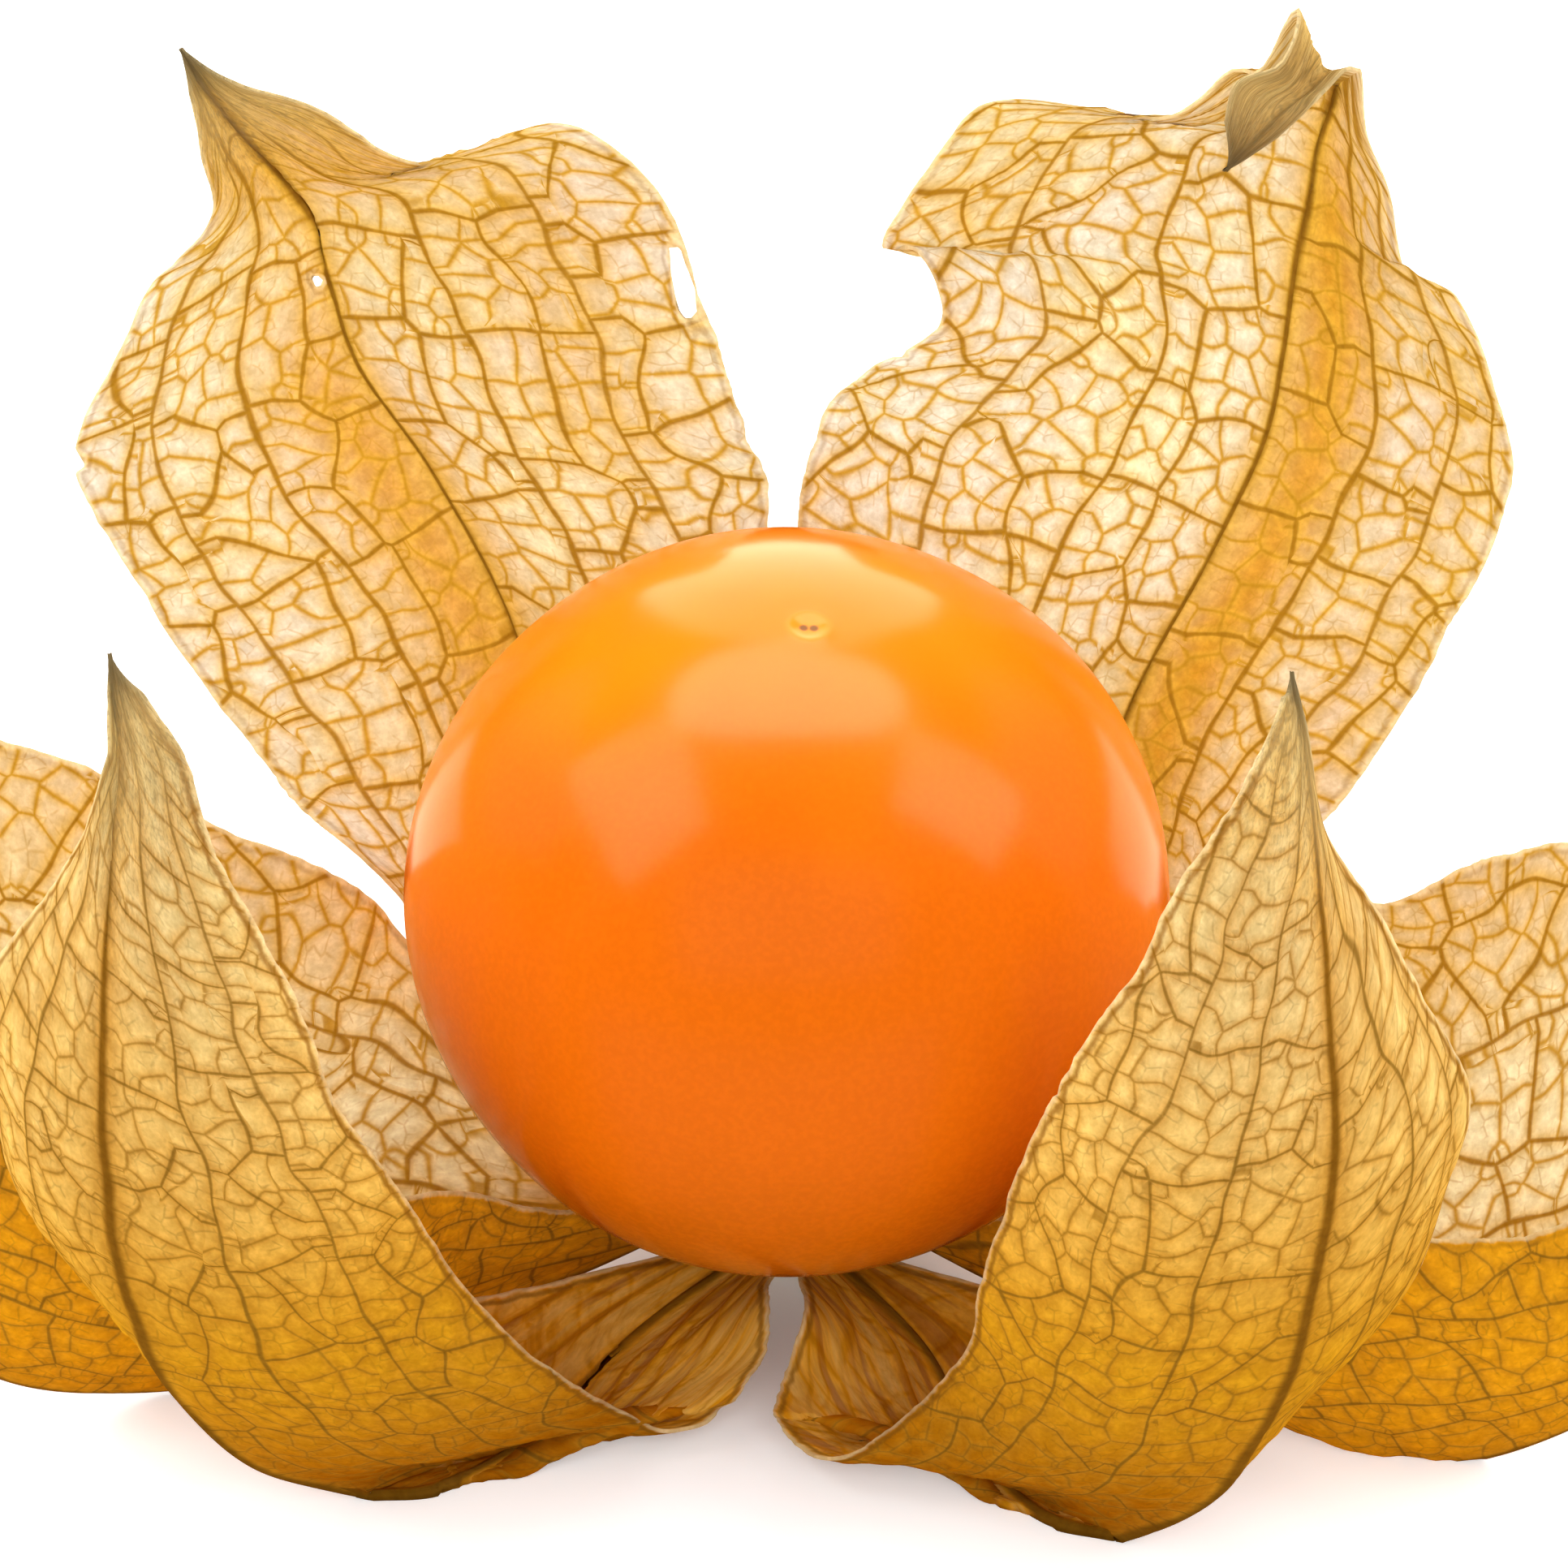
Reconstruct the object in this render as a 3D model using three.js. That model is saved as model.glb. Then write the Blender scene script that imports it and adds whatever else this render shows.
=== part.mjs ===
// Physalis berry: a ripe berry sitting in its dry husk, which has split into six papery lobes.
// Millimetres, +Z up. The berry stands on the calyx base, and the bellies of the lobes rest on the ground.
import * as THREE from "three";

const berry = {
  radius: 10, // 20 mm across
  halfHeight: 9.52,
  centreHeight: 12.2,
  leanForward: 4, // degrees, the style scar turns towards -Y
  leanRight: 3, // degrees, towards +X
  rings: 26,
  segments: 44,
  scarRadius: 0.55,
  scarDepth: 0.12,
  waist: 0.012, // share by which the side is drawn in along its faint furrows
};

const husk = {
  thickness: 0.6,
  rowSteps: 3, // surface rows between two stations of a lobe
  wingSteps: 6, // surface columns between the keel and an edge
  ruffle: 0.3, // height of the waves along the free edges
  ruffleWaves: 0.42, // waves per station
  footSnap: 0.22, // an underside lower than this lies flat on the ground
  ribEvery: 3, // columns from one raised rib to the next, starting at the keel
  ribHeight: 0.2, // of a rib on the outer face, halfway up the lobe
};

const base = {
  cupRadius: 1.65,
  cupTop: 2.25,
  cupBottom: 1.0,
  stalkRadius: 0.8,
  stalkBottom: 0.25,
  segments: 28,
};

// One row per station from the base to the tip: the keel, then the counter-clockwise edge with the height
// that its wing bulges outwards, then the clockwise edge with the same. x, y, z in mm.
const lobes = {
  back_left: [
    [[-1.4, 2, 1.8], [-2.1, 1.2, 1.8, 0], [-0.2, 2.4, 1.8, 0]],
    [[-3.8, 6.4, 0.2], [-6, 4.8, 2.6, 0.1], [-0.4, 7, 2.8, 0.1]],
    [[-5.4, 9.2, 0.2], [-9.6, 6.2, 6, 0.4], [-0.6, 10.4, 5.4, 0.4]],
    [[-6.5, 11.6, 4.8], [-11.8, 7, 8.4, 0.3], [-0.6, 11.6, 11, 0.2]],
    [[-7.3, 13, 10.8], [-13.5, 8.5, 9.25, -0.3], [-0.5, 12, 15.75, -0.5]],
    [[-9.5, 15.6, 14.4], [-16.25, 11.5, 11.25, -0.6], [-1, 14, 16.75, -0.8]],
    [[-11.6, 17, 17.1], [-19, 13.5, 15.5, -0.6], [-1.75, 16, 18.25, -0.9]],
    [[-12.3, 18, 18.8], [-18.6, 15, 17.75, -0.5], [-2.75, 17, 21, -0.7]],
    [[-12.6, 18.3, 20], [-17.5, 16, 19.75, -0.4], [-4, 17.5, 23.5, -0.5]],
    [[-12.8, 18.5, 20.9], [-16.5, 17, 20.5, -0.3], [-6, 18, 24.25, -0.4]],
    [[-13.6, 18.6, 22.3], [-15.5, 18, 21.5, -0.1], [-9.5, 18.25, 22.9, -0.2]],
    [[-14.6, 18.5, 23.8], [-15.75, 18, 23.25, 0], [-12.3, 18.1, 24.65, -0.1]],
    [[-15.4, 18.2, 25.3], [-15.9, 18, 25, 0], [-14.5, 18, 25.5, 0]],
    [[-16.1, 18, 26.7], [-16.3, 17.9, 26.6, 0], [-15.9, 17.9, 26.8, 0]],
  ],
  back_right: [
    [[1.4, 1.9, 1.8], [0.2, 2.4, 1.8, 0], [2.1, 1.1, 1.8, 0]],
    [[4.2, 6, 0.2], [0.4, 7, 2.8, 0.1], [6.2, 4.6, 2.6, 0.1]],
    [[6.2, 8.6, 0.2], [0.6, 10.4, 5.4, 0.4], [9.8, 6, 5.4, 0.4]],
    [[7.9, 11, 4.4], [0.6, 11.6, 11, 0.2], [12.6, 6.8, 7.2, 0.3]],
    [[9.3, 12.5, 9], [0.25, 12.5, 15.25, -0.5], [14.5, 8, 8.75, -0.3]],
    [[11.4, 14.8, 12.2], [0.75, 14.5, 17.25, -0.7], [17.25, 11, 11.5, -0.5]],
    [[12.9, 16.5, 15], [2, 16, 17.5, -0.7], [18.75, 13.5, 12.75, -0.5]],
    [[13.4, 17.6, 17.3], [4, 17, 18.5, -0.6], [19.5, 15, 15, -0.4]],
    [[13.6, 18.2, 18.9], [3.5, 17.75, 20.25, -0.5], [19.25, 16.25, 16.75, -0.3]],
    [[13.8, 18.6, 20.3], [2.5, 18.25, 20.25, -0.4], [18, 17.25, 19, -0.2]],
    [[14, 18.8, 21.6], [4, 18.75, 23.25, -0.4], [16.75, 18, 19.25, -0.1]],
    [[14.2, 19, 22.9], [5.75, 19, 24.25, -0.3], [16.25, 18.5, 21.5, -0.1]],
    [[14.4, 19, 24], [9.75, 19, 24, -0.2], [15.5, 18.75, 23.25, 0]],
    [[14.6, 18.8, 25.2], [11.5, 18.5, 25.5, 0], [15.25, 18.5, 25.5, 0]],
    [[14.5, 18.5, 25.5], [12.3, 18.3, 25.8, 0], [15.1, 18.3, 25.8, 0]],
    [[14.2, 18.1, 25.7], [13.4, 18.1, 28, 0], [14.75, 18.1, 26, 0]],
    [[13.6, 17.6, 25.4], [13, 17.7, 26.5, 0], [14.3, 17.6, 25.7, 0]],
    [[12.9, 17.2, 25], [11.75, 17.2, 26, 0], [13.75, 17.2, 25.25, 0]],
    [[11.6, 16.9, 23.6], [11.4, 16.9, 23.3, 0], [11.8, 16.9, 23.3, 0]],
  ],
  left: [
    [[-2.4, -0.3, 1.8], [-2.1, -1.1, 1.8, 0], [-2.4, 0.5, 1.8, 0]],
    [[-6.3, -2.1, 1], [-5.3, -2.6, 4.1, 0.2], [-6.3, 3.2, 3.2, 0.3]],
    [[-10.2, -3.5, 0.8], [-7.6, -4.8, 6.2, 0.5], [-9.9, 3.6, 8, 0.8]],
    [[-14, -4.9, 0.3], [-9.75, -7, 8, 0.9], [-11.5, 3.5, 10, 1.2]],
    [[-17.2, -5.6, 0.3], [-13.25, -8.3, 10.1, 0.9], [-14.5, 3.25, 12, 1.4]],
    [[-20.4, -6.6, 1.6], [-17, -8.3, 11.4, 1], [-17.75, 2.5, 14.5, 1.5]],
    [[-23.4, -6.4, 3.8], [-19.75, -8.25, 13, 1.1], [-20.5, 2, 16, 1.4]],
    [[-25.8, -5.9, 7], [-22.25, -7.5, 15, 0.8], [-22.75, 0.5, 18, 1.1]],
    [[-27.3, -5.2, 11], [-24, -6.5, 17.25, 0.6], [-24.5, -0.75, 19.5, 0.8]],
    [[-27.8, -4.3, 15.2], [-25.25, -5, 20, 0.3], [-25.75, -2, 21.25, 0.4]],
    [[-27.4, -3.5, 18.6], [-26, -4, 22, 0.1], [-26.25, -3, 22.5, 0.1]],
    [[-26.6, -3, 21.6], [-26.2, -3.2, 23.8, 0], [-26.3, -2.8, 23.8, 0]],
  ],
  right: [
    [[2.4, -0.4, 1.8], [2.4, 0.4, 1.8, 0], [2, -1.2, 1.8, 0]],
    [[6.3, -2.6, 1], [6.6, 2.8, 3.2, 0.3], [5, -3, 3.9, 0.2]],
    [[9.8, -4.3, 0.8], [10.4, 2.4, 8, 0.8], [7.4, -5.3, 5.7, 0.5]],
    [[13.6, -6.8, -0.2], [13.4, 2.6, 10.4, 1.2], [10.6, -8.4, 7.4, 0.9]],
    [[16.8, -7.8, -0.3], [15.75, 2.5, 10.25, 1.3], [13.75, -9.4, 9.5, 0.9]],
    [[20.2, -8.2, 1.3], [18, 2.25, 11.75, 1.4], [17, -9.7, 9.3, 1]],
    [[23.2, -7.8, 3.6], [19.5, 1.5, 13, 1.3], [18.5, -9.75, 9, 1]],
    [[25.6, -7.1, 6.9], [22, 0.5, 13.75, 1], [20.75, -9, 10.5, 0.8]],
    [[27, -6.3, 11], [23.75, -0.75, 15.75, 0.7], [22.75, -7.5, 13, 0.5]],
    [[27.4, -5.4, 15.2], [25.25, -2.5, 18.25, 0.3], [24.75, -6.25, 17, 0.3]],
    [[27, -4.7, 18.8], [25.75, -3.5, 21, 0.1], [25.5, -5, 20.75, 0.1]],
    [[26.2, -4.2, 21.6], [25.9, -4, 23.3, 0], [25.8, -4.4, 23.3, 0]],
  ],
  front_left: [
    [[-1.2, -2.1, 1.8], [-0.2, -2.4, 1.8, 0], [-1.9, -1.4, 1.8, 0]],
    [[-4.2, -4.8, 1.2], [-0.5, -5, 2.6, 0.1], [-5.5, -4.2, 3.1, 0.1]],
    [[-6.6, -7.4, 0.2], [-0.75, -6.4, 1.7, -0.2], [-8.3, -6.4, 4.1, 0.2]],
    [[-9, -9.3, -0.9], [-1.75, -7.2, 0.75, -1.1], [-11.6, -8.3, 4.5, 0.4]],
    [[-11.4, -9.7, 0.4], [-3.2, -7.7, 0.95, -0.6], [-14, -9.4, 4.8, 0.2]],
    [[-13.7, -11.3, 2.8], [-4.5, -8.4, 1.9, 0.5], [-15.8, -9.9, 5.9, 0]],
    [[-15.3, -12.2, 5.6], [-6, -9.4, 4.5, 1.2], [-17.3, -10.4, 8.4, 0]],
    [[-16.3, -12.9, 8.6], [-8, -10.5, 7.75, 1.3], [-19, -10.4, 10.9, 0.2]],
    [[-16.8, -13, 11.8], [-9.5, -11, 11.25, 1.2], [-20, -10.5, 13.7, 0.6]],
    [[-17, -12.6, 15], [-11.25, -11.25, 15.25, 0.9], [-19.75, -10, 17.5, 0.6]],
    [[-16.9, -11.9, 17.8], [-12.5, -11, 19, 0.7], [-18.5, -9.5, 20, 0.4]],
    [[-16.7, -11, 20.4], [-14, -10.5, 22.5, 0.4], [-17.25, -9.4, 22.25, 0.2]],
    [[-16.5, -9.7, 22.8], [-14.75, -9.5, 24.25, 0.2], [-16.75, -9, 24, 0.1]],
    [[-16.5, -8.4, 24.2], [-15.6, -8.3, 25, 0], [-16.7, -8, 24.8, 0]],
    [[-16.7, -7, 25.6], [-16.5, -6.9, 25.7, 0], [-16.9, -6.9, 25.6, 0]],
  ],
  front_right: [
    [[1.1, -2.1, 1.8], [1.75, -1.7, 1.8, 0], [0.2, -2.4, 1.8, 0]],
    [[3.6, -5.2, 1.2], [5.2, -4.5, 3, 0.1], [0.3, -5.2, 2.6, 0.1]],
    [[4.9, -8, 0.3], [7.9, -6.9, 4, 0.2], [-0.15, -6.6, 2, -0.2]],
    [[6.5, -10.4, -0.9], [10.3, -9.1, 4.5, 0.4], [-0.6, -7.95, 1.2, -1.2]],
    [[8.6, -11.2, 0.1], [12.1, -10.4, 4.6, 0.2], [0.4, -8.8, 1, -0.9]],
    [[10.8, -12.6, 2.8], [13, -11.1, 5.8, 0.1], [2.25, -9.6, 2.25, 0.4]],
    [[11.9, -13.2, 5.6], [14.6, -11.5, 7.8, 0.2], [4.25, -10.5, 5.5, 1.1]],
    [[12.7, -13.5, 8.4], [16.2, -11.5, 10.3, 0.4], [5, -11, 9.25, 1.3]],
    [[13.2, -13.4, 11.2], [16.7, -11.3, 13.2, 0.6], [5.75, -11.5, 13, 1.2]],
    [[13.5, -13.2, 14], [16.75, -10.5, 15.5, 0.6], [7.25, -11.5, 17, 0.9]],
    [[13.4, -12.6, 16.6], [15.75, -10.5, 17.75, 0.4], [8.75, -11.25, 19.75, 0.7]],
    [[13.2, -11.8, 19], [14.5, -10, 20, 0.2], [9.75, -10.75, 22, 0.4]],
    [[12.9, -10.7, 21.4], [13.25, -9.5, 22, 0.1], [11, -10, 24.25, 0.2]],
    [[12.6, -9.3, 23.8], [12.75, -8.75, 24, 0], [12, -9, 25.4, 0]],
    [[12.3, -8, 25.8], [12.5, -7.9, 25.8, 0], [12.1, -7.9, 25.9, 0]],
  ],
};

const group = new THREE.Group();
group.name = "physalis_berry";

const slots = {
  skin: new THREE.MeshStandardMaterial({ color: 0xf58a12, roughness: 0.25 }),
  husk: new THREE.MeshStandardMaterial({ color: 0xe2b765, roughness: 0.8 }),
  stalk: new THREE.MeshStandardMaterial({ color: 0x8f7a45, roughness: 0.85 }),
};

// Value of one column of numbers at u, on a smooth curve through all of them.
function alongStations(values, u) {
  const last = values.length - 1;
  const i = Math.min(Math.floor(u), last - 1);
  const f = u - i;
  const p1 = values[i];
  const p2 = values[i + 1];
  const p0 = i > 0 ? values[i - 1] : 2 * p1 - p2;
  const p3 = i + 2 <= last ? values[i + 2] : 2 * p2 - p1;
  return 0.5 * (2 * p1 + (p2 - p0) * f + (2 * p0 - 5 * p1 + 4 * p2 - p3) * f * f
    + (3 * p1 - p0 - 3 * p2 + p3) * f * f * f);
}

// The middle surface of a lobe: rows from base to tip, columns from the clockwise edge to the other one.
function lobeSurface(stations) {
  const columns = stations[0].flat().map((_, k) => stations.map((row) => row.flat()[k]));
  const rowCount = (stations.length - 1) * husk.rowSteps + 1;
  const at = (u) => columns.map((values) => alongStations(values, u));
  const surface = [];
  for (let i = 0; i < rowCount; i++) {
    const u = i / husk.rowSteps;
    const here = at(u);
    const keel = new THREE.Vector3(...here.slice(0, 3));
    const before = at(Math.max(u - 0.5 / husk.rowSteps, 0));
    const after = at(Math.min(u + 0.5 / husk.rowSteps, stations.length - 1));
    const along = new THREE.Vector3(...after.slice(0, 3)).sub(new THREE.Vector3(...before.slice(0, 3)));
    const wing = (edge, bulge, sign, q) => {
      const across = new THREE.Vector3(...edge).sub(keel);
      const inward = new THREE.Vector3().crossVectors(along, across).multiplyScalar(sign).normalize();
      const wave = husk.ruffle * q ** 3 * Math.sin(2 * Math.PI * husk.ruffleWaves * u + sign)
        * Math.min(1, across.length() / 5);
      const point = keel.clone().addScaledVector(across, q);
      point.addScaledVector(inward, wave - bulge * 4 * q * (1 - q));
      point.z = Math.max(point.z, husk.thickness / 2);
      return point;
    };
    const row = [];
    for (let j = -husk.wingSteps; j <= husk.wingSteps; j++) {
      const q = Math.abs(j) / husk.wingSteps;
      row.push(j < 0 ? wing(here.slice(7, 10), here[10], -1, q) : wing(here.slice(3, 6), here[6], 1, q));
    }
    surface.push(row);
  }
  return surface;
}

// Unit normals of a surface grid, towards the inside of the husk.
function surfaceNormals(surface) {
  const rows = surface.length;
  const cols = surface[0].length;
  return surface.map((row, i) => row.map((_, j) => {
    const up = surface[Math.min(i + 1, rows - 1)][j].clone().sub(surface[Math.max(i - 1, 0)][j]);
    const over = row[Math.min(j + 1, cols - 1)].clone().sub(row[Math.max(j - 1, 0)]);
    return up.cross(over).normalize();
  }));
}

// A closed sheet of even thickness round a surface grid, with both faces cut into triangles alike.
function sheetGeometry(surface) {
  const normals = surfaceNormals(surface);
  const rows = surface.length;
  const cols = surface[0].length;
  const positions = [];
  // The ribs stand out of the outer face along the keel and along the middle of each wing.
  const ribAt = (i, j) => {
    const column = Math.abs(j - husk.wingSteps);
    const onRib = column < husk.wingSteps && column % husk.ribEvery === 0;
    return onRib ? husk.ribHeight * Math.sin((Math.PI * i) / (rows - 1)) : 0;
  };
  for (const side of [0.5, -0.5]) {
    surface.forEach((row, i) => row.forEach((point, j) => {
      const lift = side * husk.thickness - (side < 0 ? ribAt(i, j) : 0);
      const p = point.clone().addScaledVector(normals[i][j], lift);
      if (side < 0 && p.z < husk.footSnap) p.z = 0;
      positions.push(p.x, p.y, Math.max(p.z, 0));
    }));
  }
  const inner = (i, j) => i * cols + j;
  const outer = (i, j) => rows * cols + i * cols + j;
  const index = [];
  const quad = (a, b, c, d) => index.push(a, b, c, a, c, d);
  for (let i = 0; i + 1 < rows; i++) {
    for (let j = 0; j + 1 < cols; j++) {
      quad(inner(i, j), inner(i + 1, j), inner(i + 1, j + 1), inner(i, j + 1));
      index.push(outer(i, j), outer(i + 1, j + 1), outer(i + 1, j));
      index.push(outer(i, j), outer(i, j + 1), outer(i + 1, j + 1));
    }
    quad(inner(i, 0), outer(i, 0), outer(i + 1, 0), inner(i + 1, 0));
    quad(inner(i, cols - 1), inner(i + 1, cols - 1), outer(i + 1, cols - 1), outer(i, cols - 1));
  }
  for (let j = 0; j + 1 < cols; j++) {
    quad(inner(0, j), inner(0, j + 1), outer(0, j + 1), outer(0, j));
    quad(inner(rows - 1, j), outer(rows - 1, j), outer(rows - 1, j + 1), inner(rows - 1, j + 1));
  }
  const geometry = new THREE.BufferGeometry();
  geometry.setAttribute("position", new THREE.Float32BufferAttribute(positions, 3));
  geometry.setIndex(index);
  geometry.computeVertexNormals();
  return geometry;
}

// A closed body of revolution about z: profile points [radius, z] from the bottom pole to the top pole.
function turned(profile, segments, shape = () => 1) {
  const positions = [0, 0, profile[0][1]];
  const rings = profile.slice(1, -1);
  rings.forEach(([radius, z]) => {
    for (let s = 0; s < segments; s++) {
      const angle = (2 * Math.PI * s) / segments;
      const r = radius * shape(angle, z);
      positions.push(r * Math.cos(angle), r * Math.sin(angle), z);
    }
  });
  positions.push(0, 0, profile[profile.length - 1][1]);
  const top = positions.length / 3 - 1;
  const at = (ring, s) => 1 + ring * segments + (s % segments);
  const index = [];
  for (let s = 0; s < segments; s++) {
    index.push(0, at(0, s + 1), at(0, s));
    for (let ring = 0; ring + 1 < rings.length; ring++) {
      index.push(at(ring, s), at(ring, s + 1), at(ring + 1, s + 1));
      index.push(at(ring, s), at(ring + 1, s + 1), at(ring + 1, s));
    }
    index.push(top, at(rings.length - 1, s), at(rings.length - 1, s + 1));
  }
  const geometry = new THREE.BufferGeometry();
  geometry.setAttribute("position", new THREE.Float32BufferAttribute(positions, 3));
  geometry.setIndex(index);
  geometry.computeVertexNormals();
  return geometry;
}

function add(name, geometry, material) {
  const mesh = new THREE.Mesh(geometry, material);
  mesh.name = name;
  group.add(mesh);
  return mesh;
}

function addBerry() {
  const profile = [];
  for (let k = 0; k < berry.rings; k++) {
    const latitude = -Math.PI / 2 + (Math.PI * k) / berry.rings;
    profile.push([berry.radius * Math.cos(latitude), berry.halfHeight * Math.sin(latitude)]);
  }
  // The style scar: a small shallow dish at the top.
  profile.push([berry.scarRadius, berry.halfHeight - 0.02]);
  profile.push([berry.scarRadius * 0.6, berry.halfHeight - berry.scarDepth]);
  profile.push([0, berry.halfHeight - berry.scarDepth]);
  const shape = (angle, z) => {
    const side = Math.max(0, 1 - (z / berry.halfHeight) ** 2);
    return 1 - berry.waist * side * (0.5 + 0.5 * Math.cos(5 * angle + 0.4));
  };
  const mesh = add("berry", turned(profile, berry.segments, shape), slots.skin);
  mesh.rotation.set(
    THREE.MathUtils.degToRad(berry.leanForward),
    THREE.MathUtils.degToRad(berry.leanRight),
    0,
  );
  mesh.position.z = berry.centreHeight;
}

function addCalyxBase() {
  const { cupRadius, cupTop, cupBottom, stalkRadius, stalkBottom } = base;
  const profile = [
    [0, stalkBottom],
    [stalkRadius * 0.92, stalkBottom],
    [stalkRadius, stalkBottom + 0.15],
    [stalkRadius, cupBottom - 0.1],
    [stalkRadius * 1.25, cupBottom],
    [cupRadius, cupBottom + 0.45],
    [cupRadius, cupTop - 0.25],
    [cupRadius * 0.9, cupTop],
    [0, cupTop],
  ];
  add("calyx_base", turned(profile, base.segments), slots.stalk);
}

function addHusk() {
  for (const [side, stations] of Object.entries(lobes)) {
    add("husk_lobe_" + side, sheetGeometry(lobeSurface(stations)), slots.husk);
  }
}

addBerry();
addCalyxBase();
addHusk();

// The middle of the footprint stands on the origin.
const box = new THREE.Box3().setFromObject(group, true);
const middle = box.getCenter(new THREE.Vector3());
group.children.forEach((mesh) => mesh.position.sub(new THREE.Vector3(middle.x, middle.y, box.min.z)));

export default group;
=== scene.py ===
import math

import bpy
import numpy as np
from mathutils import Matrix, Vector


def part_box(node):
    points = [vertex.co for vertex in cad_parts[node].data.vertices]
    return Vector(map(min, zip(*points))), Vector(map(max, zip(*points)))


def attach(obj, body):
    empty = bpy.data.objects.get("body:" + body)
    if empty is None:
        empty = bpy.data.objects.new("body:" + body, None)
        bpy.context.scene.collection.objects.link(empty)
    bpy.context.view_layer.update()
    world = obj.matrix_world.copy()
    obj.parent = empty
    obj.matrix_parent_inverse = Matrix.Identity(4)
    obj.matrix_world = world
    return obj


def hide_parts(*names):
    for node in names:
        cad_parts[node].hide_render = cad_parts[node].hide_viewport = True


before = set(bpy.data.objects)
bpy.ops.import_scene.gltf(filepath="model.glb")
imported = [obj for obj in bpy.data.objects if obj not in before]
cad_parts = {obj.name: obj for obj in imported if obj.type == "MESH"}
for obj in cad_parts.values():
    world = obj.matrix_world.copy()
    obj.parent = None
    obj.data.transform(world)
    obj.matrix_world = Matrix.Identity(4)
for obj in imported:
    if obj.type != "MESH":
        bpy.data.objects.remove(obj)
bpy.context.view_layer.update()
mm = 0.001
cupLow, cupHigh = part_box("calyx_base")
# where the stalk's axis meets the ground, in metres
centre = np.array([(cupLow.x + cupHigh.x) / 2, (cupLow.y + cupHigh.y) / 2, 0.0])
print("frame loaded, stalk axis at", centre)


husk = {
    "rows": 250,
    "columns": 97,
    "samples": 2000,  # along the lanes that the rows are spaced by
    "lanes": (-0.7, 0.0, 0.7),  # shares of the wings' widths
    "thickness": 0.2,  # mm
    "rimShare": 0.45,  # thickness left at a free edge
    "rimReach": 0.5,  # mm over which the sheet thins towards it
    "ruffle": 0.3,  # mm
    "ruffleWaves": 0.42,  # per station
    "ruffleWidth": 5.0,  # mm of wing from which it ruffles in full
    "ragged": 0.14,  # mm, how far the free edges are frayed
    "frayWidth": 3.0,  # mm of wing from which they fray in full
    "leastWidth": 0.5,  # mm of wing that a fray is measured by at least
    "frays": [(4, 0.35), (2, 0.2)],  # rows to a wave of the fray, and its share
    "bites": [(11, 1.1), (23, 0.5)],  # the same, for waves that cut on one side of zero only
    "tipLength": 1.4,  # mm drawn out to a point
    "tipWidth": 0.12,  # share of the width left at the very tip
    "tipCurve": 0.7,
    "tipSlope": 0.5,  # mm of edge for each mm from the tip
    "holeWaves": [(3, 0.12, 1.0), (7, 0.08, 0.0)],  # count round a hole's rim, share of its radius, turn
    "holeSlope": 1.5,
    "leastRadius": 0.05,  # share of a hole's radius that a point in it counts as at least
    "groundGap": {"middle": 0.01, "face": 0.005, "relief": 0.004},  # mm kept above the ground
    "baseDensity": 0.5,  # cells along the base against those along the middle
    "basePart": 0.3,  # share of the length that is drawn out so
    "tipThinning": 0.35,
    "tipPart": 0.2,
    "fanShare": 0.6,  # how far the net narrows with the wing
    "patchStep": 60.0,  # mm between the lobes' parts of the vein pattern
    "bandIn": 0.12,  # share of the length over which a stained or worn band comes in
    "bandOut": 0.15,
    "shortBand": 0.1,  # a band shorter than this share is a round spot
    "cellPuff": 0.10,  # mm, how far a large cell swells out
    "smallPuff": 0.035,
    "ribRaise": 0.10,
    "veinRaise": 0.03,
}

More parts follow.
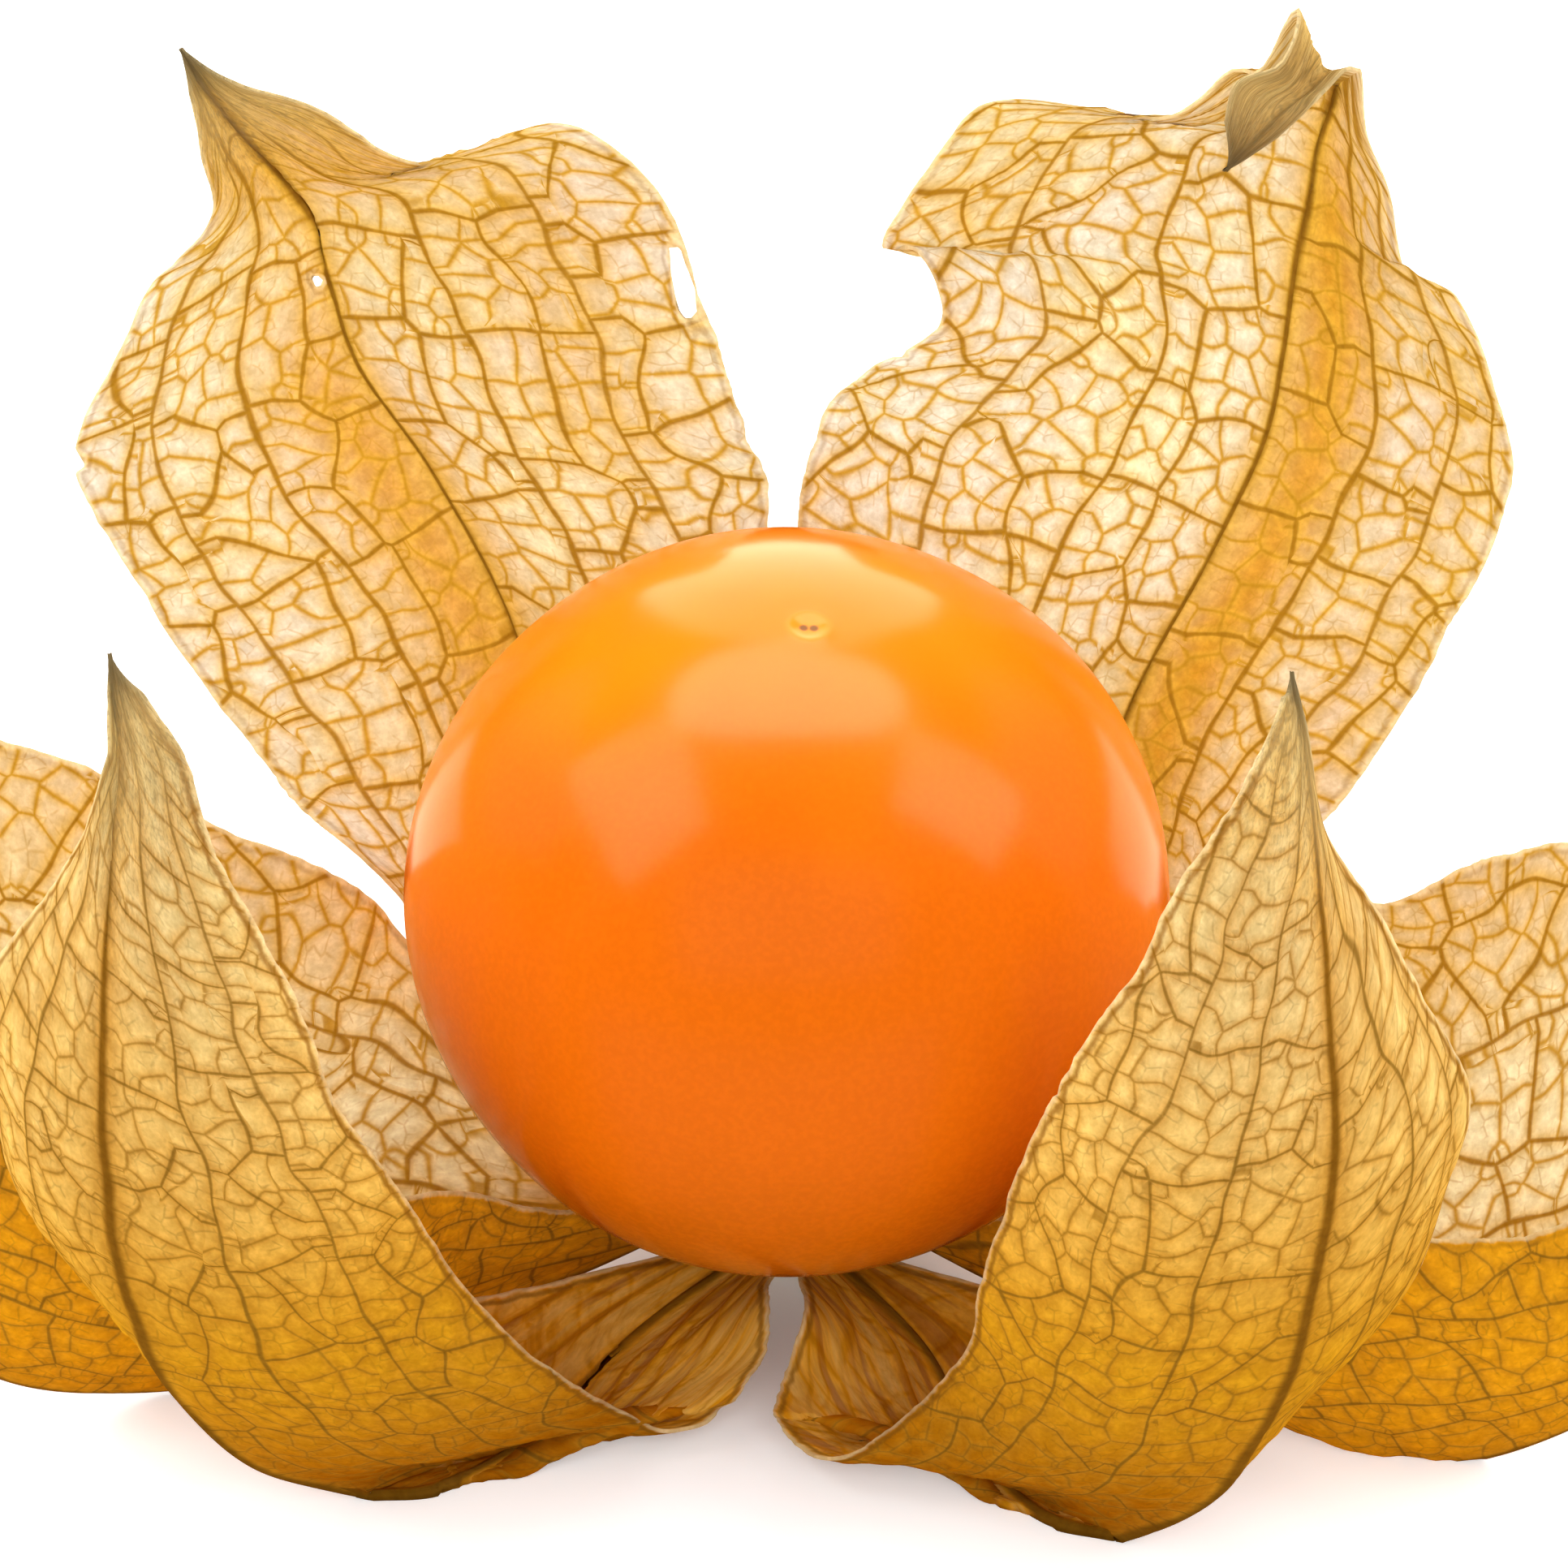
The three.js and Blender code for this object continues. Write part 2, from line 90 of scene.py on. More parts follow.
# One row per station from the base to the tip: the keel, then the counter-clockwise edge and how far its
# wing bulges outwards, then the clockwise edge and its bulge. x, y, z in mm from the stalk's foot.
lobes = {
    "back_left": [
        [[-1.4, 2, 1.8], [-2.1, 1.2, 1.8, 0], [-0.2, 2.4, 1.8, 0]],
        [[-3.8, 6.4, 0.2], [-6, 4.8, 2.6, 0.1], [-0.4, 7, 2.8, 0.1]],
        [[-5.4, 9.2, 0.2], [-9.6, 6.2, 6, 0.4], [-0.6, 10.4, 5.4, 0.4]],
        [[-6.5, 11.6, 4.8], [-11.8, 7, 8.4, 0.3], [-0.6, 11.6, 11, 0.2]],
        [[-7.3, 13, 10.8], [-13.5, 8.5, 9.25, -0.3], [-0.5, 12, 15.75, -0.5]],
        [[-9.5, 15.6, 14.4], [-16.25, 11.5, 11.25, -0.6], [-1, 14, 16.75, -0.8]],
        [[-11.6, 17, 17.1], [-19, 13.5, 15.5, -0.6], [-1.75, 16, 18.25, -0.9]],
        [[-12.3, 18, 18.8], [-18.6, 15, 17.75, -0.5], [-2.75, 17, 21, -0.7]],
        [[-12.6, 18.3, 20], [-17.5, 16, 19.75, -0.4], [-4, 17.5, 23.5, -0.5]],
        [[-12.8, 18.5, 20.9], [-16.5, 17, 20.5, -0.3], [-6, 18, 24.25, -0.4]],
        [[-13.6, 18.6, 22.3], [-15.5, 18, 21.5, -0.1], [-9.5, 18.25, 22.9, -0.2]],
        [[-14.6, 18.5, 23.8], [-15.75, 18, 23.25, 0], [-12.3, 18.1, 24.65, -0.1]],
        [[-15.4, 18.2, 25.3], [-15.9, 18, 25, 0], [-14.5, 18, 25.5, 0]],
        [[-16.1, 18, 26.7], [-16.3, 17.9, 26.6, 0], [-15.9, 17.9, 26.8, 0]],
    ],
    "back_right": [
        [[1.4, 1.9, 1.8], [0.2, 2.4, 1.8, 0], [2.1, 1.1, 1.8, 0]],
        [[4.2, 6, 0.2], [0.4, 7, 2.8, 0.1], [6.2, 4.6, 2.6, 0.1]],
        [[6.2, 8.6, 0.2], [0.6, 10.4, 5.4, 0.4], [9.8, 6, 5.4, 0.4]],
        [[7.9, 11, 4.4], [0.6, 11.6, 11, 0.2], [12.6, 6.8, 7.2, 0.3]],
        [[9.3, 12.5, 9], [0.25, 12.5, 15.25, -0.5], [14.5, 8, 8.75, -0.3]],
        [[11.4, 14.8, 12.2], [0.75, 14.5, 17.25, -0.7], [17.25, 11, 11.5, -0.5]],
        [[12.9, 16.5, 15], [2, 16, 17.5, -0.7], [18.75, 13.5, 12.75, -0.5]],
        [[13.4, 17.6, 17.3], [4, 17, 18.5, -0.6], [19.5, 15, 15, -0.4]],
        [[13.6, 18.2, 18.9], [3.5, 17.75, 20.25, -0.5], [19.25, 16.25, 16.75, -0.3]],
        [[13.8, 18.6, 20.3], [2.5, 18.25, 20.25, -0.4], [18, 17.25, 19, -0.2]],
        [[14, 18.8, 21.6], [4, 18.75, 23.25, -0.4], [16.75, 18, 19.25, -0.1]],
        [[14.2, 19, 22.9], [5.75, 19, 24.25, -0.3], [16.25, 18.5, 21.5, -0.1]],
        [[14.4, 19, 24], [9.75, 19, 24, -0.2], [15.5, 18.75, 23.25, 0]],
        [[14.6, 18.8, 25.2], [11.5, 18.5, 25.5, 0], [15.25, 18.5, 25.5, 0]],
        [[14.5, 18.5, 25.5], [12.3, 18.3, 25.8, 0], [15.1, 18.3, 25.8, 0]],
        [[14.2, 18.1, 25.7], [13.4, 18.1, 28, 0], [14.75, 18.1, 26, 0]],
        [[13.6, 17.6, 25.4], [13, 17.7, 26.5, 0], [14.3, 17.6, 25.7, 0]],
        [[12.9, 17.2, 25], [11.75, 17.2, 26, 0], [13.75, 17.2, 25.25, 0]],
        [[11.6, 16.9, 23.6], [11.4, 16.9, 23.3, 0], [11.8, 16.9, 23.3, 0]],
    ],
    "left": [
        [[-2.4, -0.3, 1.8], [-2.1, -1.1, 1.8, 0], [-2.4, 0.5, 1.8, 0]],
        [[-6.3, -2.1, 1], [-5.3, -2.6, 4.1, 0.2], [-6.3, 3.2, 3.2, 0.3]],
        [[-10.2, -3.5, 0.8], [-7.6, -4.8, 6.2, 0.5], [-9.9, 3.6, 8, 0.8]],
        [[-14, -4.9, 0.3], [-9.75, -7, 8, 0.9], [-11.5, 3.5, 10, 1.2]],
        [[-17.2, -5.6, 0.3], [-13.25, -8.3, 10.1, 0.9], [-14.5, 3.25, 12, 1.4]],
        [[-20.4, -6.6, 1.6], [-17, -8.3, 11.4, 1], [-17.75, 2.5, 14.5, 1.5]],
        [[-23.4, -6.4, 3.8], [-19.75, -8.25, 13, 1.1], [-20.5, 2, 16, 1.4]],
        [[-25.8, -5.9, 7], [-22.25, -7.5, 15, 0.8], [-22.75, 0.5, 18, 1.1]],
        [[-27.3, -5.2, 11], [-24, -6.5, 17.25, 0.6], [-24.5, -0.75, 19.5, 0.8]],
        [[-27.8, -4.3, 15.2], [-25.25, -5, 20, 0.3], [-25.75, -2, 21.25, 0.4]],
        [[-27.4, -3.5, 18.6], [-26, -4, 22, 0.1], [-26.25, -3, 22.5, 0.1]],
        [[-26.6, -3, 21.6], [-26.2, -3.2, 23.8, 0], [-26.3, -2.8, 23.8, 0]],
    ],
    "right": [
        [[2.4, -0.4, 1.8], [2.4, 0.4, 1.8, 0], [2, -1.2, 1.8, 0]],
        [[6.3, -2.6, 1], [6.6, 2.8, 3.2, 0.3], [5, -3, 3.9, 0.2]],
        [[9.8, -4.3, 0.8], [10.4, 2.4, 8, 0.8], [7.4, -5.3, 5.7, 0.5]],
        [[13.6, -6.8, -0.2], [13.4, 2.6, 10.4, 1.2], [10.6, -8.4, 7.4, 0.9]],
        [[16.8, -7.8, -0.3], [15.75, 2.5, 10.25, 1.3], [13.75, -9.4, 9.5, 0.9]],
        [[20.2, -8.2, 1.3], [18, 2.25, 11.75, 1.4], [17, -9.7, 9.3, 1]],
        [[23.2, -7.8, 3.6], [19.5, 1.5, 13, 1.3], [18.5, -9.75, 9, 1]],
        [[25.6, -7.1, 6.9], [22, 0.5, 13.75, 1], [20.75, -9, 10.5, 0.8]],
        [[27, -6.3, 11], [23.75, -0.75, 15.75, 0.7], [22.75, -7.5, 13, 0.5]],
        [[27.4, -5.4, 15.2], [25.25, -2.5, 18.25, 0.3], [24.75, -6.25, 17, 0.3]],
        [[27, -4.7, 18.8], [25.75, -3.5, 21, 0.1], [25.5, -5, 20.75, 0.1]],
        [[26.2, -4.2, 21.6], [25.9, -4, 23.3, 0], [25.8, -4.4, 23.3, 0]],
    ],
    "front_left": [
        [[-1.2, -2.1, 1.8], [-0.2, -2.4, 1.8, 0], [-1.9, -1.4, 1.8, 0]],
        [[-4.2, -4.8, 1.2], [-0.5, -5, 2.6, 0.1], [-5.5, -4.2, 3.1, 0.1]],
        [[-6.6, -7.4, 0.2], [-0.75, -6.4, 1.7, -0.2], [-8.3, -6.4, 4.1, 0.2]],
        [[-9, -9.3, -0.9], [-1.75, -7.2, 0.75, -1.1], [-11.6, -8.3, 4.5, 0.4]],
        [[-11.4, -9.7, 0.4], [-3.2, -7.7, 0.95, -0.6], [-14, -9.4, 4.8, 0.2]],
        [[-13.7, -11.3, 2.8], [-4.5, -8.4, 1.9, 0.5], [-15.8, -9.9, 5.9, 0]],
        [[-15.3, -12.2, 5.6], [-6, -9.4, 4.5, 1.2], [-17.3, -10.4, 8.4, 0]],
        [[-16.3, -12.9, 8.6], [-8, -10.5, 7.75, 1.3], [-19, -10.4, 10.9, 0.2]],
        [[-16.8, -13, 11.8], [-9.5, -11, 11.25, 1.2], [-20, -10.5, 13.7, 0.6]],
        [[-17, -12.6, 15], [-11.25, -11.25, 15.25, 0.9], [-19.75, -10, 17.5, 0.6]],
        [[-16.9, -11.9, 17.8], [-12.5, -11, 19, 0.7], [-18.5, -9.5, 20, 0.4]],
        [[-16.7, -11, 20.4], [-14, -10.5, 22.5, 0.4], [-17.25, -9.4, 22.25, 0.2]],
        [[-16.5, -9.7, 22.8], [-14.75, -9.5, 24.25, 0.2], [-16.75, -9, 24, 0.1]],
        [[-16.5, -8.4, 24.2], [-15.6, -8.3, 25, 0], [-16.7, -8, 24.8, 0]],
        [[-16.7, -7, 25.6], [-16.5, -6.9, 25.7, 0], [-16.9, -6.9, 25.6, 0]],
    ],
    "front_right": [
        [[1.1, -2.1, 1.8], [1.75, -1.7, 1.8, 0], [0.2, -2.4, 1.8, 0]],
        [[3.6, -5.2, 1.2], [5.2, -4.5, 3, 0.1], [0.3, -5.2, 2.6, 0.1]],
        [[4.9, -8, 0.3], [7.9, -6.9, 4, 0.2], [-0.15, -6.6, 2, -0.2]],
        [[6.5, -10.4, -0.9], [10.3, -9.1, 4.5, 0.4], [-0.6, -7.95, 1.2, -1.2]],
        [[8.6, -11.2, 0.1], [12.1, -10.4, 4.6, 0.2], [0.4, -8.8, 1, -0.9]],
        [[10.8, -12.6, 2.8], [13, -11.1, 5.8, 0.1], [2.25, -9.6, 2.25, 0.4]],
        [[11.9, -13.2, 5.6], [14.6, -11.5, 7.8, 0.2], [4.25, -10.5, 5.5, 1.1]],
        [[12.7, -13.5, 8.4], [16.2, -11.5, 10.3, 0.4], [5, -11, 9.25, 1.3]],
        [[13.2, -13.4, 11.2], [16.7, -11.3, 13.2, 0.6], [5.75, -11.5, 13, 1.2]],
        [[13.5, -13.2, 14], [16.75, -10.5, 15.5, 0.6], [7.25, -11.5, 17, 0.9]],
        [[13.4, -12.6, 16.6], [15.75, -10.5, 17.75, 0.4], [8.75, -11.25, 19.75, 0.7]],
        [[13.2, -11.8, 19], [14.5, -10, 20, 0.2], [9.75, -10.75, 22, 0.4]],
        [[12.9, -10.7, 21.4], [13.25, -9.5, 22, 0.1], [11, -10, 24.25, 0.2]],
        [[12.6, -9.3, 23.8], [12.75, -8.75, 24, 0], [12, -9, 25.4, 0]],
        [[12.3, -8, 25.8], [12.5, -7.9, 25.8, 0], [12.1, -7.9, 25.9, 0]],
    ],
}

# Where the two side ribs of each wing run, as shares of its width: clockwise wing, then counter-clockwise.
# Stains are amber bands. The pale bands are bleached wear on the back and front lobes, and on the side
# lobes painted light, the glow of light through the sheet: wing side, share of the width, half-width in mm,
# strength, first and last share of the length. Holes and nicks: share of the length, share of the wing,
# half-length and half-width in mm, turn in radians. The rim is how dark the line along the free edge is.
# on the side lobes the pale bands are painted light over nearly the whole lobe: the glow of light shining
# through the sheet, which also lifts the painted shade at the base
sideLook = {
    "rim": 0.3,
    "stains": [[1, 0.5, 9.0, 1.0, -0.2, 1.2], [-1, 0.5, 9.0, 1.0, -0.2, 1.2]],
    "wearAndPaintedLight": [[1, 0.5, 6.0, 0.95, 0.05, 0.95], [-1, 0.5, 6.0, 0.95, 0.05, 0.95]],
    "holes": [],
}
lobeLook = {
    "back_left": {
        "seed": 1, "ribs": [[0.34, 0.68], [0.42, 0.75]], "rim": 0.35,
        "stains": [[1, 0.14, 1.9, 0.9, 0.25, 0.8], [-1, 0.6, 2.4, 0.4, 0.5, 0.95],
                   [-1, 0.6, 5.0, 0.75, 0.74, 1.2], [1, 0.6, 5.0, 0.45, 0.8, 1.2]],
        "wearAndPaintedLight": [[-1, 0.3, 1.8, 0.5, 0.45, 0.7]],
        "holes": [[0.712, -0.95, 0.85, 0.26, 0.0], [0.748, 0.05, 0.3, 0.16, 0.3],
                  [0.688, 1.0, 0.35, 0.3, 0.0], [0.84, -0.98, 0.25, 0.2, 0.4]],
    },
    "back_right": {
        "seed": 2, "ribs": [[0.4, 0.74], [0.36, 0.7]], "rim": 0.35,
        "stains": [[-1, 0.2, 1.8, 1.0, 0.15, 0.9], [1, 0.8, 1.6, 0.4, 0.7, 0.95],
                   [-1, 0.8, 2.5, 0.35, 0.3, 0.9]],
        "wearAndPaintedLight": [[1, 0.24, 1.8, 0.75, 0.45, 0.68], [1, 0.52, 0.5, 1.0, 0.63, 0.66]],
        "holes": [[0.6, 1.0, 0.3, 0.25, 0.3]],
    },
    "left": {"seed": 3, "ribs": [[0.36, 0.7], [0.4, 0.74]], **sideLook},
    "right": {"seed": 4, "ribs": [[0.36, 0.72], [0.38, 0.7]], **sideLook},
    "front_left": {
        "seed": 5, "ribs": [[0.5, 0.8], [0.34, 0.68]], "rim": 0.75,
        "stains": [],
        "wearAndPaintedLight": [[1, 0.8, 0.5, 0.7, 0.74, 0.8]],
        "holes": [[0.8, 1.0, 0.2, 0.15, 0.5], [0.5, 1.02, 0.3, 0.2, 0.3]],
    },
    "front_right": {
        "seed": 6, "ribs": [[0.34, 0.66], [0.45, 0.8]], "rim": 0.75,
        "stains": [],
        "wearAndPaintedLight": [],
        "holes": [[0.663, -1.02, 0.18, 0.3, 0.6], [0.61, -1.02, 0.22, 0.25, 0.4],
                  [0.55, -1.03, 0.3, 0.22, 0.2], [0.47, -1.02, 0.25, 0.3, 0.5]],
    },
}


def addObject(name, data):
    obj = bpy.data.objects.new(name, data)
    bpy.context.scene.collection.objects.link(obj)
    return obj


def alongStations(table, u):
    # a smooth curve through the stations' rows
    last = len(table) - 1
    i = np.clip(np.floor(u).astype(int), 0, last - 1)
    f = (u - i)[..., None]
    p1, p2 = table[i], table[i + 1]
    p0 = np.where((i > 0)[..., None], table[np.maximum(i - 1, 0)], 2 * p1 - p2)
    p3 = np.where((i + 2 <= last)[..., None], table[np.minimum(i + 2, last)], 2 * p2 - p1)
    return 0.5 * (2 * p1 + (p2 - p0) * f + (2 * p0 - 5 * p1 + 4 * p2 - p3) * f ** 2
                  + (3 * p1 - p0 - 3 * p2 + p3) * f ** 3)


def lobePoints(table, u, q):
    # u counts stations, q is the share of a wing's width: negative on the clockwise wing
    last = len(table) - 1
    here = alongStations(table, u)
    reach = 1 / 6  # of a station, to find which way the keel runs
    along = (alongStations(table, np.minimum(u + reach, last))
             - alongStations(table, np.maximum(u - reach, 0)))[..., :3]
    keel = here[..., :3]
    clockwise = (q < 0)[..., None]
    sign = np.where(q < 0, -1.0, 1.0)
    across = np.where(clockwise, here[..., 7:10], here[..., 3:6]) - keel
    bulge = np.where(q < 0, here[..., 10], here[..., 6])
    inward = np.cross(along, across) * sign[..., None]
    inward /= np.linalg.norm(inward, axis=-1, keepdims=True) + 1e-9
    share = np.abs(q)
    width = np.linalg.norm(across, axis=-1)
    wave = (husk["ruffle"] * share ** 3 * np.sin(2 * np.pi * husk["ruffleWaves"] * u + sign)
            * np.minimum(1, width / husk["ruffleWidth"]))
    points = keel + across * share[..., None] + inward * (wave - bulge * 4 * share * (1 - share))[..., None]
    points[..., 2] = np.maximum(points[..., 2], husk["thickness"] / 2 + husk["groundGap"]["middle"])
    return points


def smoothNoise(random, count, step):
    # one smooth random curve between -1 and 1, with a knot every step samples
    knots = random.uniform(-1, 1, int(count / step) + 4)
    x = np.arange(count) / step
    i = x.astype(int)
    f = x - i
    f = f * f * (3 - 2 * f)
    return knots[i] * (1 - f) + knots[i + 1] * f


def gridFaces(rows, columns, keep):
    # closed sheet over the kept cells of a grid: inner face, outer face, then the rims between them
    def inner(i, j):
        return i * columns + j

    def outer(i, j):
        return rows * columns + i * columns + j

    i, j = np.nonzero(keep)
    parts = [np.stack([inner(i, j), inner(i + 1, j), inner(i + 1, j + 1), inner(i, j + 1)], 1),
             np.stack([outer(i, j), outer(i, j + 1), outer(i + 1, j + 1), outer(i + 1, j)], 1)]
    wide = np.zeros((rows + 1, columns + 1), bool)
    wide[1:-1, 1:-1] = keep
    here, left, below = wide[1:, 1:], wide[1:, :-1], wide[:-1, 1:]
    for free, down, over, turned in ((here & ~left, 1, 0, False), (~here & left, 1, 0, True),
                                     (here & ~below, 0, 1, True), (~here & below, 0, 1, False)):
        i, j = np.nonzero(free)
        rim = [inner(i, j), outer(i, j), outer(i + down, j + over), inner(i + down, j + over)]
        if turned:
            rim = [rim[0], rim[3], rim[2], rim[1]]
        parts.append(np.stack(rim, 1))
    return np.concatenate(parts), len(parts[0]) * 2


def meshObject(name, points, faces, smoothFaces, attributes):
    # points in mm from the stalk's foot; unused points are dropped
    used, faces = np.unique(faces, return_inverse=True)
    faces = faces.reshape(-1, 4)
    mesh = bpy.data.meshes.new(name)
    mesh.from_pydata((points[used] * mm + centre).tolist(), [], faces.tolist())
    for label, values in attributes.items():
        attribute = mesh.attributes.new(label, "FLOAT_VECTOR", "POINT")
        attribute.data.foreach_set("vector", np.ascontiguousarray(values[used], np.float32).ravel())
    mesh.polygons.foreach_set("use_smooth", np.arange(len(faces)) < smoothFaces)
    mesh.update()
    return addObject(name, mesh)


def bands(marks, q, wide, along):
    # strength of the stained or worn bands at each point of a lobe
    total = np.zeros_like(q)
    for sign, place, halfWidth, strength, first, end in marks:
        away = (q * sign - place) * wide / halfWidth
        reach = (np.clip((along - first) / husk["bandIn"], 0, 1)
                 * np.clip((end - along) / husk["bandOut"], 0, 1))
        if end - first < husk["shortBand"]:
            reach = np.exp(-((along - (first + end) / 2) / (end - first)) ** 2)
        total = np.maximum(total, strength * np.exp(-away ** 2) * reach)
    return total


def spread(grid, i, j):
    # the grid's value between its points
    i0 = np.clip(i.astype(int), 0, grid.shape[0] - 2)
    j0 = np.clip(j.astype(int), 0, grid.shape[1] - 2)
    a, b = i - i0, j - j0
    return ((grid[i0, j0] * (1 - a) + grid[i0 + 1, j0] * a) * (1 - b)
            + (grid[i0, j0 + 1] * (1 - a) + grid[i0 + 1, j0 + 1] * a) * b)


def evenRows(table):
    # rows at even steps along the keel and the wings: their place in stations, and in mm from the base
    fine = np.linspace(0, len(table) - 1, husk["samples"])
    lanes = [lobePoints(table, fine, np.full(len(fine), q)) for q in husk["lanes"]]
    steps = sum(np.linalg.norm(np.diff(lane, axis=0), axis=1) for lane in lanes) / len(lanes)
    length = np.concatenate([[0], np.cumsum(steps)])
    s = np.linspace(0, length[-1], husk["rows"])
    return np.interp(s, length, fine), s


def freeEdges(random, s, width):
    # the share of each wing's width that is left, with its edge frayed and the tip drawn out to a point
    point = np.clip((s[-1] - s) / husk["tipLength"], husk["tipWidth"], 1) ** husk["tipCurve"]
    kept = {}
    for sign in (-1, 1):
        fray = np.zeros(len(s))
        for step, share in husk["frays"]:
            fray += share * np.abs(smoothNoise(random, len(s), step))
        for step, share in husk["bites"]:
            fray += share * np.maximum(smoothNoise(random, len(s), step), 0)
        depth = husk["ragged"] * fray * np.minimum(1, width[sign] / husk["frayWidth"])
        kept[sign] = (1 - depth / np.maximum(width[sign], husk["leastWidth"])) * point
    return kept


def perWing(q, wings):
    # what belongs to the wing that each point of the grid is on
    return np.where(q < 0, wings[-1][:, None], wings[1][:, None])


def cutHole(hole, s, width, kept, s2, t, edge, keep):
    # drops the cells inside one hole or nick, and draws the points that are left inside out to its rim
    share, wingShare, halfLength, halfWidth, turn = hole
    s0 = share * s[-1]
    t0 = wingShare * width[-1 if wingShare < 0 else 1][int(share * (len(s) - 1))]
    c, d = math.cos(turn), math.sin(turn)
    a, b = s2 - s0, t - t0
    x, y = (a * c + b * d) / halfLength, (b * c - a * d) / halfWidth
    angle = np.arctan2(y, x)
    rim = np.ones_like(angle)
    for waves, depth, shift in husk["holeWaves"]:
        rim += depth * np.sin(waves * angle + shift)
    radius = np.hypot(x, y) / rim
    inside = radius < 1
    keep &= ~(inside[:-1, :-1] & inside[1:, :-1] & inside[:-1, 1:] & inside[1:, 1:])
    grow = np.where(inside, 1 / np.maximum(radius, husk["leastRadius"]), 1.0)
    x, y = x * halfLength * grow, y * halfWidth * grow
    s2 = np.where(inside, s0 + x * c - y * d, s2)
    lowest, highest = -width[-1][:, None] * kept[-1][:, None], width[1][:, None] * kept[1][:, None]
    t = np.where(inside, np.clip(t0 + y * c + x * d, lowest, highest), t)
    rimEdge = np.maximum(radius - 1, 0) * min(halfLength, halfWidth) * husk["holeSlope"]
    return s2, t, np.minimum(edge, rimEdge)


def flatPlaces(grid, s, width, s2, q2, wide, seed):
    # Flat coordinates of the vein net, in mm. Its cells are drawn out along the base and the tip, and it
    # narrows with the wings.
    rows, columns = grid.shape[:2]
    along = s / s[-1]
    density = (husk["baseDensity"] + (1 - husk["baseDensity"]) * np.clip(along / husk["basePart"], 0, 1)
               - husk["tipThinning"] * np.clip((along - (1 - husk["tipPart"])) / husk["tipPart"], 0, 1))
    steps = np.linalg.norm(np.diff(grid, axis=0), axis=2) * ((density[1:] + density[:-1]) / 2)[:, None]
    drawn = np.concatenate([np.zeros((1, columns)), np.cumsum(steps, axis=0)])
    broad = int(np.argmax(width[-1] + width[1]))
    drawn += drawn[broad, columns // 2] - drawn[broad]
    widest = np.where(q2 < 0, width[-1].max(), width[1].max())
    fan = widest * (1 - husk["fanShare"]) + wide * husk["fanShare"]
    up = spread(drawn, s2 / s[-1] * (rows - 1), (q2 + 1) / 2 * (columns - 1)) + husk["patchStep"] * seed
    return [up, q2 * fan, np.zeros_like(q2)]


def lobeObject(side):
    look = lobeLook[side]
    random = np.random.default_rng(look["seed"])
    table = np.array([keel + counter + clockwise for keel, counter, clockwise in lobes[side]], float)
    rows, columns = husk["rows"], husk["columns"]
    u, s = evenRows(table)
    q = np.linspace(-1, 1, columns)
    grid = lobePoints(table, *np.broadcast_arrays(u[:, None], q[None, :]))
    steps = np.linalg.norm(np.diff(grid, axis=1), axis=2)
    across = np.concatenate([np.zeros((rows, 1)), np.cumsum(steps, axis=1)], axis=1)
    middle = across[:, columns // 2]
    width = {-1: middle - across[:, 0], 1: across[:, -1] - middle}
    kept = freeEdges(random, s, width)
    q2 = q * perWing(q, kept)
    wide = perWing(q2, width)
    t = q2 * wide
    s2 = np.broadcast_to(s[:, None], t.shape).copy()
    edge = np.minimum((perWing(q2, kept) - np.abs(q2)) * wide, (s[-1] - s2) * husk["tipSlope"])
    keep = np.ones((rows - 1, columns - 1), bool)
    for hole in look["holes"]:
        s2, t, edge = cutHole(hole, s, width, kept, s2, t, edge, keep)
    wide = np.where(t < 0, np.interp(s2, s, width[-1]), np.interp(s2, s, width[1]))
    q2 = t / np.maximum(wide, 1e-3)
    points = lobePoints(table, np.interp(s2, s, u), q2)
    normal = np.cross(np.gradient(points, axis=0), np.gradient(points, axis=1))
    normal /= np.linalg.norm(normal, axis=2, keepdims=True) + 1e-12
    thin = husk["rimShare"] + (1 - husk["rimShare"]) * np.clip(edge / husk["rimReach"], 0, 1)
    half = husk["thickness"] / 2 * thin[..., None]
    inner, outer = points + normal * half, points - normal * half
    outer[..., 2] = np.maximum(outer[..., 2], husk["groundGap"]["face"])
    share = s2 / s[-1]
    ribs = [t]
    for k in (0, 1):
        place = np.where(t < 0, look["ribs"][0][k], look["ribs"][1][k])
        ribs.append((np.abs(q2) - place) * wide)
    marks = [bands(look["stains"], q2, wide, share), bands(look["wearAndPaintedLight"], q2, wide, share),
             np.full_like(t, look["rim"])]

    def both(grids):
        return np.concatenate([np.stack(grids, -1).reshape(rows * columns, -1)] * 2)

    place = both([edge, np.zeros_like(t), share])
    place[rows * columns:, 1] = 1.0
    flat = both(flatPlaces(grid, s, width, s2, q2, wide, look["seed"]))
    faces, smoothFaces = gridFaces(rows, columns, keep)
    return meshObject(
        "huskLobe" + side.title().replace("_", ""),
        np.concatenate([inner.reshape(-1, 3), outer.reshape(-1, 3)]), faces, smoothFaces,
        {"flat": flat, "ribs": both(ribs), "marks": both(marks), "place": place},
    )


def makeNode(tree, kind, inputs=None, **settings):
    node = tree.nodes.new(kind)
    for key, value in settings.items():
        setattr(node, key, value)
    for key, value in (inputs or {}).items():
        if isinstance(value, bpy.types.NodeSocket):
            tree.links.new(value, node.inputs[key])
        else:
            node.inputs[key].default_value = value
    return node


def treeOf(*values):
    # the node tree that these sockets are in
    return next(value.id_data for value in values if isinstance(value, bpy.types.NodeSocket))


def calc(operation, a, b=0.0):
    return makeNode(treeOf(a, b), "ShaderNodeMath", {0: a, 1: b}, operation=operation).outputs[0]


def plus(a, b):
    return calc("ADD", a, b)


def minus(a, b):
    return calc("SUBTRACT", a, b)


def times(a, b):
    return calc("MULTIPLY", a, b)


def larger(a, b):
    return calc("MAXIMUM", a, b)


def smaller(a, b):
    return calc("MINIMUM", a, b)


def absolute(a):
    return calc("ABSOLUTE", a)


